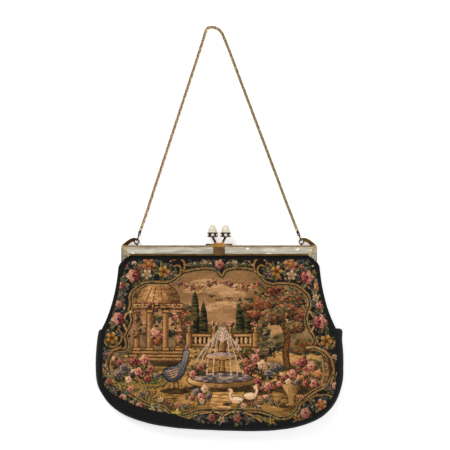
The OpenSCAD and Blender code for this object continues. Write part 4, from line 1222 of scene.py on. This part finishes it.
def petit_point(name):
    """Slanted stitches over a canvas, each with its own thread, with shade painted into the grooves between them."""
    n = Nodes(name)
    uv = n.add("ShaderNodeUVMap", uv_map="stitch")
    cell = n.add("ShaderNodeSeparateXYZ")
    n.link(uv.outputs[0], cell.inputs[0])
    a, b = n.math("FRACT", cell.outputs[0]), n.math("FRACT", cell.outputs[1])
    off = n.math("ABSOLUTE", n.math("SUBTRACT", a, b))
    off = n.math("MINIMUM", off, n.math("SUBTRACT", 1.0, off))
    height = n.span(off, 0.0, 0.5, 1.0, 0.0)
    fibre = n.noise(n.coords(), 4200.0, 2.0)
    relief = n.math("ADD", height, n.math("MULTIPLY", fibre, 0.35))
    attribute = n.add("ShaderNodeAttribute", attribute_name="thread")
    # Painted shade: the thread colour darkens towards black where the relief is low, between the stitches.
    colour = n.mix(n.span(relief, 0.1, 1.0, 0.42, 0.0), attribute.outputs["Color"], (0.004, 0.004, 0.004, 1))
    return n.surface(Base_Color=colour, Roughness=0.9, Specular_IOR_Level=0.12, Sheen_Weight=0.02,
                     Sheen_Roughness=0.5, Normal=n.bump(relief, 0.00018, 0.6))


def build_front_panel():
    mesh = mesh_of("embroidered_front", to_row(panel_verts), panel_faces)
    cells = len(stitches)
    colour = mesh.attributes.new("thread", "FLOAT_COLOR", "CORNER")
    shades = np.ones((len(mesh.loops), 4))
    shades[:, :3] = linear((0.07, 0.07, 0.075))
    top = linear(COL)
    shades[: 4 * cells, :3] = np.repeat(top, 4, 0)
    colour.data.foreach_set("color", shades.astype(np.float32).ravel())
    corner = np.zeros(len(mesh.loops), int)
    mesh.loops.foreach_get("vertex_index", corner)
    cell = mesh.uv_layers.new(name="stitch")
    cell.data.foreach_set("uv", panel_index[corner].astype(np.float32).ravel())
    flat = panel_verts[:, :2].copy()
    flat = (flat - flat.min(0)) / np.ptp(flat[:, 0])
    bake = mesh.uv_layers.new(name="OFBake")
    place = 0.004 + 0.992 * flat[corner]
    back = np.arange(len(corner)) >= 4 * cells
    place[back] = 0.01 + 0.26 * flat[corner[back]] + (0, 0.76)
    bake.data.foreach_set("uv", place.astype(np.float32).ravel())
    obj = new_object("embroidered_front", mesh, petit_point("petit_point"))
    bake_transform(obj)
    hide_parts("front_panel")


def black_cloth(name):
    """Black ribbed cloth."""
    n = Nodes(name)
    rib = n.add("ShaderNodeTexWave", wave_type="BANDS", bands_direction="DIAGONAL")
    n.link(n.coords(), rib.inputs["Vector"])
    rib.inputs["Scale"].default_value = 900.0
    rib.inputs["Distortion"].default_value = 1.5
    worn = n.noise(n.coords(), 160.0, 4.0, 0.6)
    fibre = n.noise(n.coords(), 3000.0, 2.0)
    relief = n.math("ADD", rib.outputs["Fac"], n.math("MULTIPLY", fibre, 0.6))
    return n.surface(Base_Color=n.ramp(worn, (0.3, "#0f1011"), (0.55, "#161718"), (0.75, "#1e1f1f")), Roughness=0.9,
                     Specular_IOR_Level=0.12, Sheen_Weight=0.03, Normal=n.bump(relief, 0.00012, 0.45))


def lining_cloth(name):
    """Satin lining in a muted gold, with the light and shade of folds painted into its colour."""
    n = Nodes(name)
    weave = n.noise(n.coords(scale=(1, 0.15, 1)), 1800.0, 2.0)
    fold_light_and_shade = n.noise(n.coords(scale=(1, 0.3, 1)), 60.0, 3.0)
    # Painted light and shade: lighter and darker streaks stand for folds in the satin.
    return n.surface(Base_Color=n.ramp(fold_light_and_shade, (0.3, "#8d7a56"), (0.5, "#a8946a"), (0.72, "#c2b088")),
                     Roughness=n.span(weave, 0.3, 0.7, 0.5, 0.38), Specular_IOR_Level=0.5, Sheen_Weight=0.3,
                     Normal=n.bump(weave, 0.00008, 0.3))


BLACK_CLOTH = black_cloth("black_cloth")
SATIN = lining_cloth("lining_satin")


def lining_cut():
    """Cut of the linings: tucked in with the panels at the top, and clear of the gusset."""
    body = RIGHT[-RIGHT[:, 1] > 25]
    drop = -body[:, 1]
    x = body[:, 0] * (0.9 + 0.065 * np.clip((drop - 72) / 12, 0, 1))
    y = -90 - (drop - 90) * np.where(drop < 90, 0.9, 0.95)
    right = np.concatenate([[(74.5, -5.0), (74.5, -13.0), (75.2, -22.0)], np.column_stack([x, y])])
    return hung(np.concatenate([right, (right * (-1, 1))[-2::-1]]))


def build_cloths():
    cut = lining_cut()
    verts, faces, _, _ = grid_sheet(OUTLINE, 2.0, lambda x, y: back_z(y) + 1.4, 1.4, 0.0)
    back = new_object("back_cloth", mesh_of("back_cloth", to_row(verts), faces), BLACK_CLOTH)
    back.data.set_sharp_from_angle(angle=CREASED)
    finish_piece(back, "bag", "black_ground", "back_panel")
    soft = lambda x, y, away: 0.12 * np.sin(x / 6 + 1.3 * np.sin(y / 31)) * np.clip(away / 8, 0, 1) - 0.12
    verts, faces, _, _ = grid_sheet(cut, 2.4, lambda x, y: front_z(x, y) - 1.8, 0.5, 0.0, 1.6, soft)
    front = new_object("front_lining_cloth", mesh_of("front_lining_cloth", to_row(verts), faces), SATIN)
    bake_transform(front)
    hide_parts("front_lining")
    soft = lambda x, y, away: 0.14 * np.sin(x / 7 + 1.1 * np.sin(y / 27)) * np.clip(away / 8, 0, 1) + 0.14
    verts, faces, _, _ = grid_sheet(cut, 2.4, lambda x, y: back_z(y) + 2.4, 0.5, 0.0, 1.6, soft)
    rear = new_object("back_lining_cloth", mesh_of("back_lining_cloth", to_row(verts), faces), SATIN)
    finish_piece(rear, "bag", "lining_satin", "back_lining")


START_DROP, GUSSET_T = 50, 1.2


def build_gusset():
    """Strip between places 6 mm under the hinges: folded in above the shoulders, bowed out below them."""
    half = np.array([p for p in RIGHT if -p[1] > START_DROP])
    path = np.concatenate([half, (half * (-1, 1))[-2::-1]])
    steps = np.concatenate([[0], np.cumsum(np.hypot(*np.diff(path, axis=0).T))])
    s = np.linspace(0, steps[-1], 420)
    path = np.column_stack([np.interp(s, steps, path[:, k]) for k in range(2)])
    way = np.gradient(path, axis=0)
    out = np.column_stack([-way[:, 1], way[:, 0]]) / np.hypot(*way.T)[:, None]
    drop = -path[:, 1]
    free = ease((drop - 65) / 6)
    base, bow = -4 + 3.6 * free, -3 + 5.6 * free
    # As in the photograph, the right side stands out more, most at its shoulder, and the low left less
    at_right, at_left = (path[:, 0] > 0) * free, (path[:, 0] < 0) * free
    bow += at_right * (0.85 * ease((126 - drop) / 20) + 1.6 * np.exp(-(((drop - 71.5) / 4.5) ** 2)))
    bow -= at_left * 1.1 * np.exp(-(((drop - 127) / 10) ** 2))
    m = 14
    tau = np.linspace(0, 1, m + 1)
    z0, z1 = 1.7, seam_z(drop) - 1.7
    verts = []
    for inner in (0, 1):
        for t in tau:
            crease = 0.05 * np.sin(s / 3.1 + 2.2 * t + 0.8 * np.sin(s / 11)) * math.sin(math.pi * t) * free
            off = base + bow * math.sin(math.pi * t) - inner * GUSSET_T + crease * (1 - 0.5 * inner) - 0.2 * free
            q = path + out * off[:, None]
            verts.append(np.column_stack([q, z0 + (z1 - z0) * t]))
    n = len(path)
    verts = hung(np.concatenate(verts))
    row = lambda inner, j, i: (inner * (m + 1) + j) * n + i
    faces = []
    for i in range(n - 1):
        for j in range(m):
            faces.append((row(0, j, i), row(0, j, i + 1), row(0, j + 1, i + 1), row(0, j + 1, i))[::-1])
            faces.append((row(1, j, i), row(1, j, i + 1), row(1, j + 1, i + 1), row(1, j + 1, i)))
        faces.append((row(0, 0, i), row(0, 0, i + 1), row(1, 0, i + 1), row(1, 0, i)))
        faces.append((row(0, m, i), row(0, m, i + 1), row(1, m, i + 1), row(1, m, i))[::-1])
    for i in (0, n - 1):
        for j in range(m):
            face = (row(0, j, i), row(0, j + 1, i), row(1, j + 1, i), row(1, j, i))
            faces.append(face[::-1] if i == 0 else face)
    strip = new_object("gusset_strip", mesh_of("gusset_strip", to_row(verts), faces), BLACK_CLOTH)
    finish_piece(strip, "bag", "black_ground", "gusset")


build_front_panel()
build_cloths()
build_gusset()


bpy.context.view_layer.update()
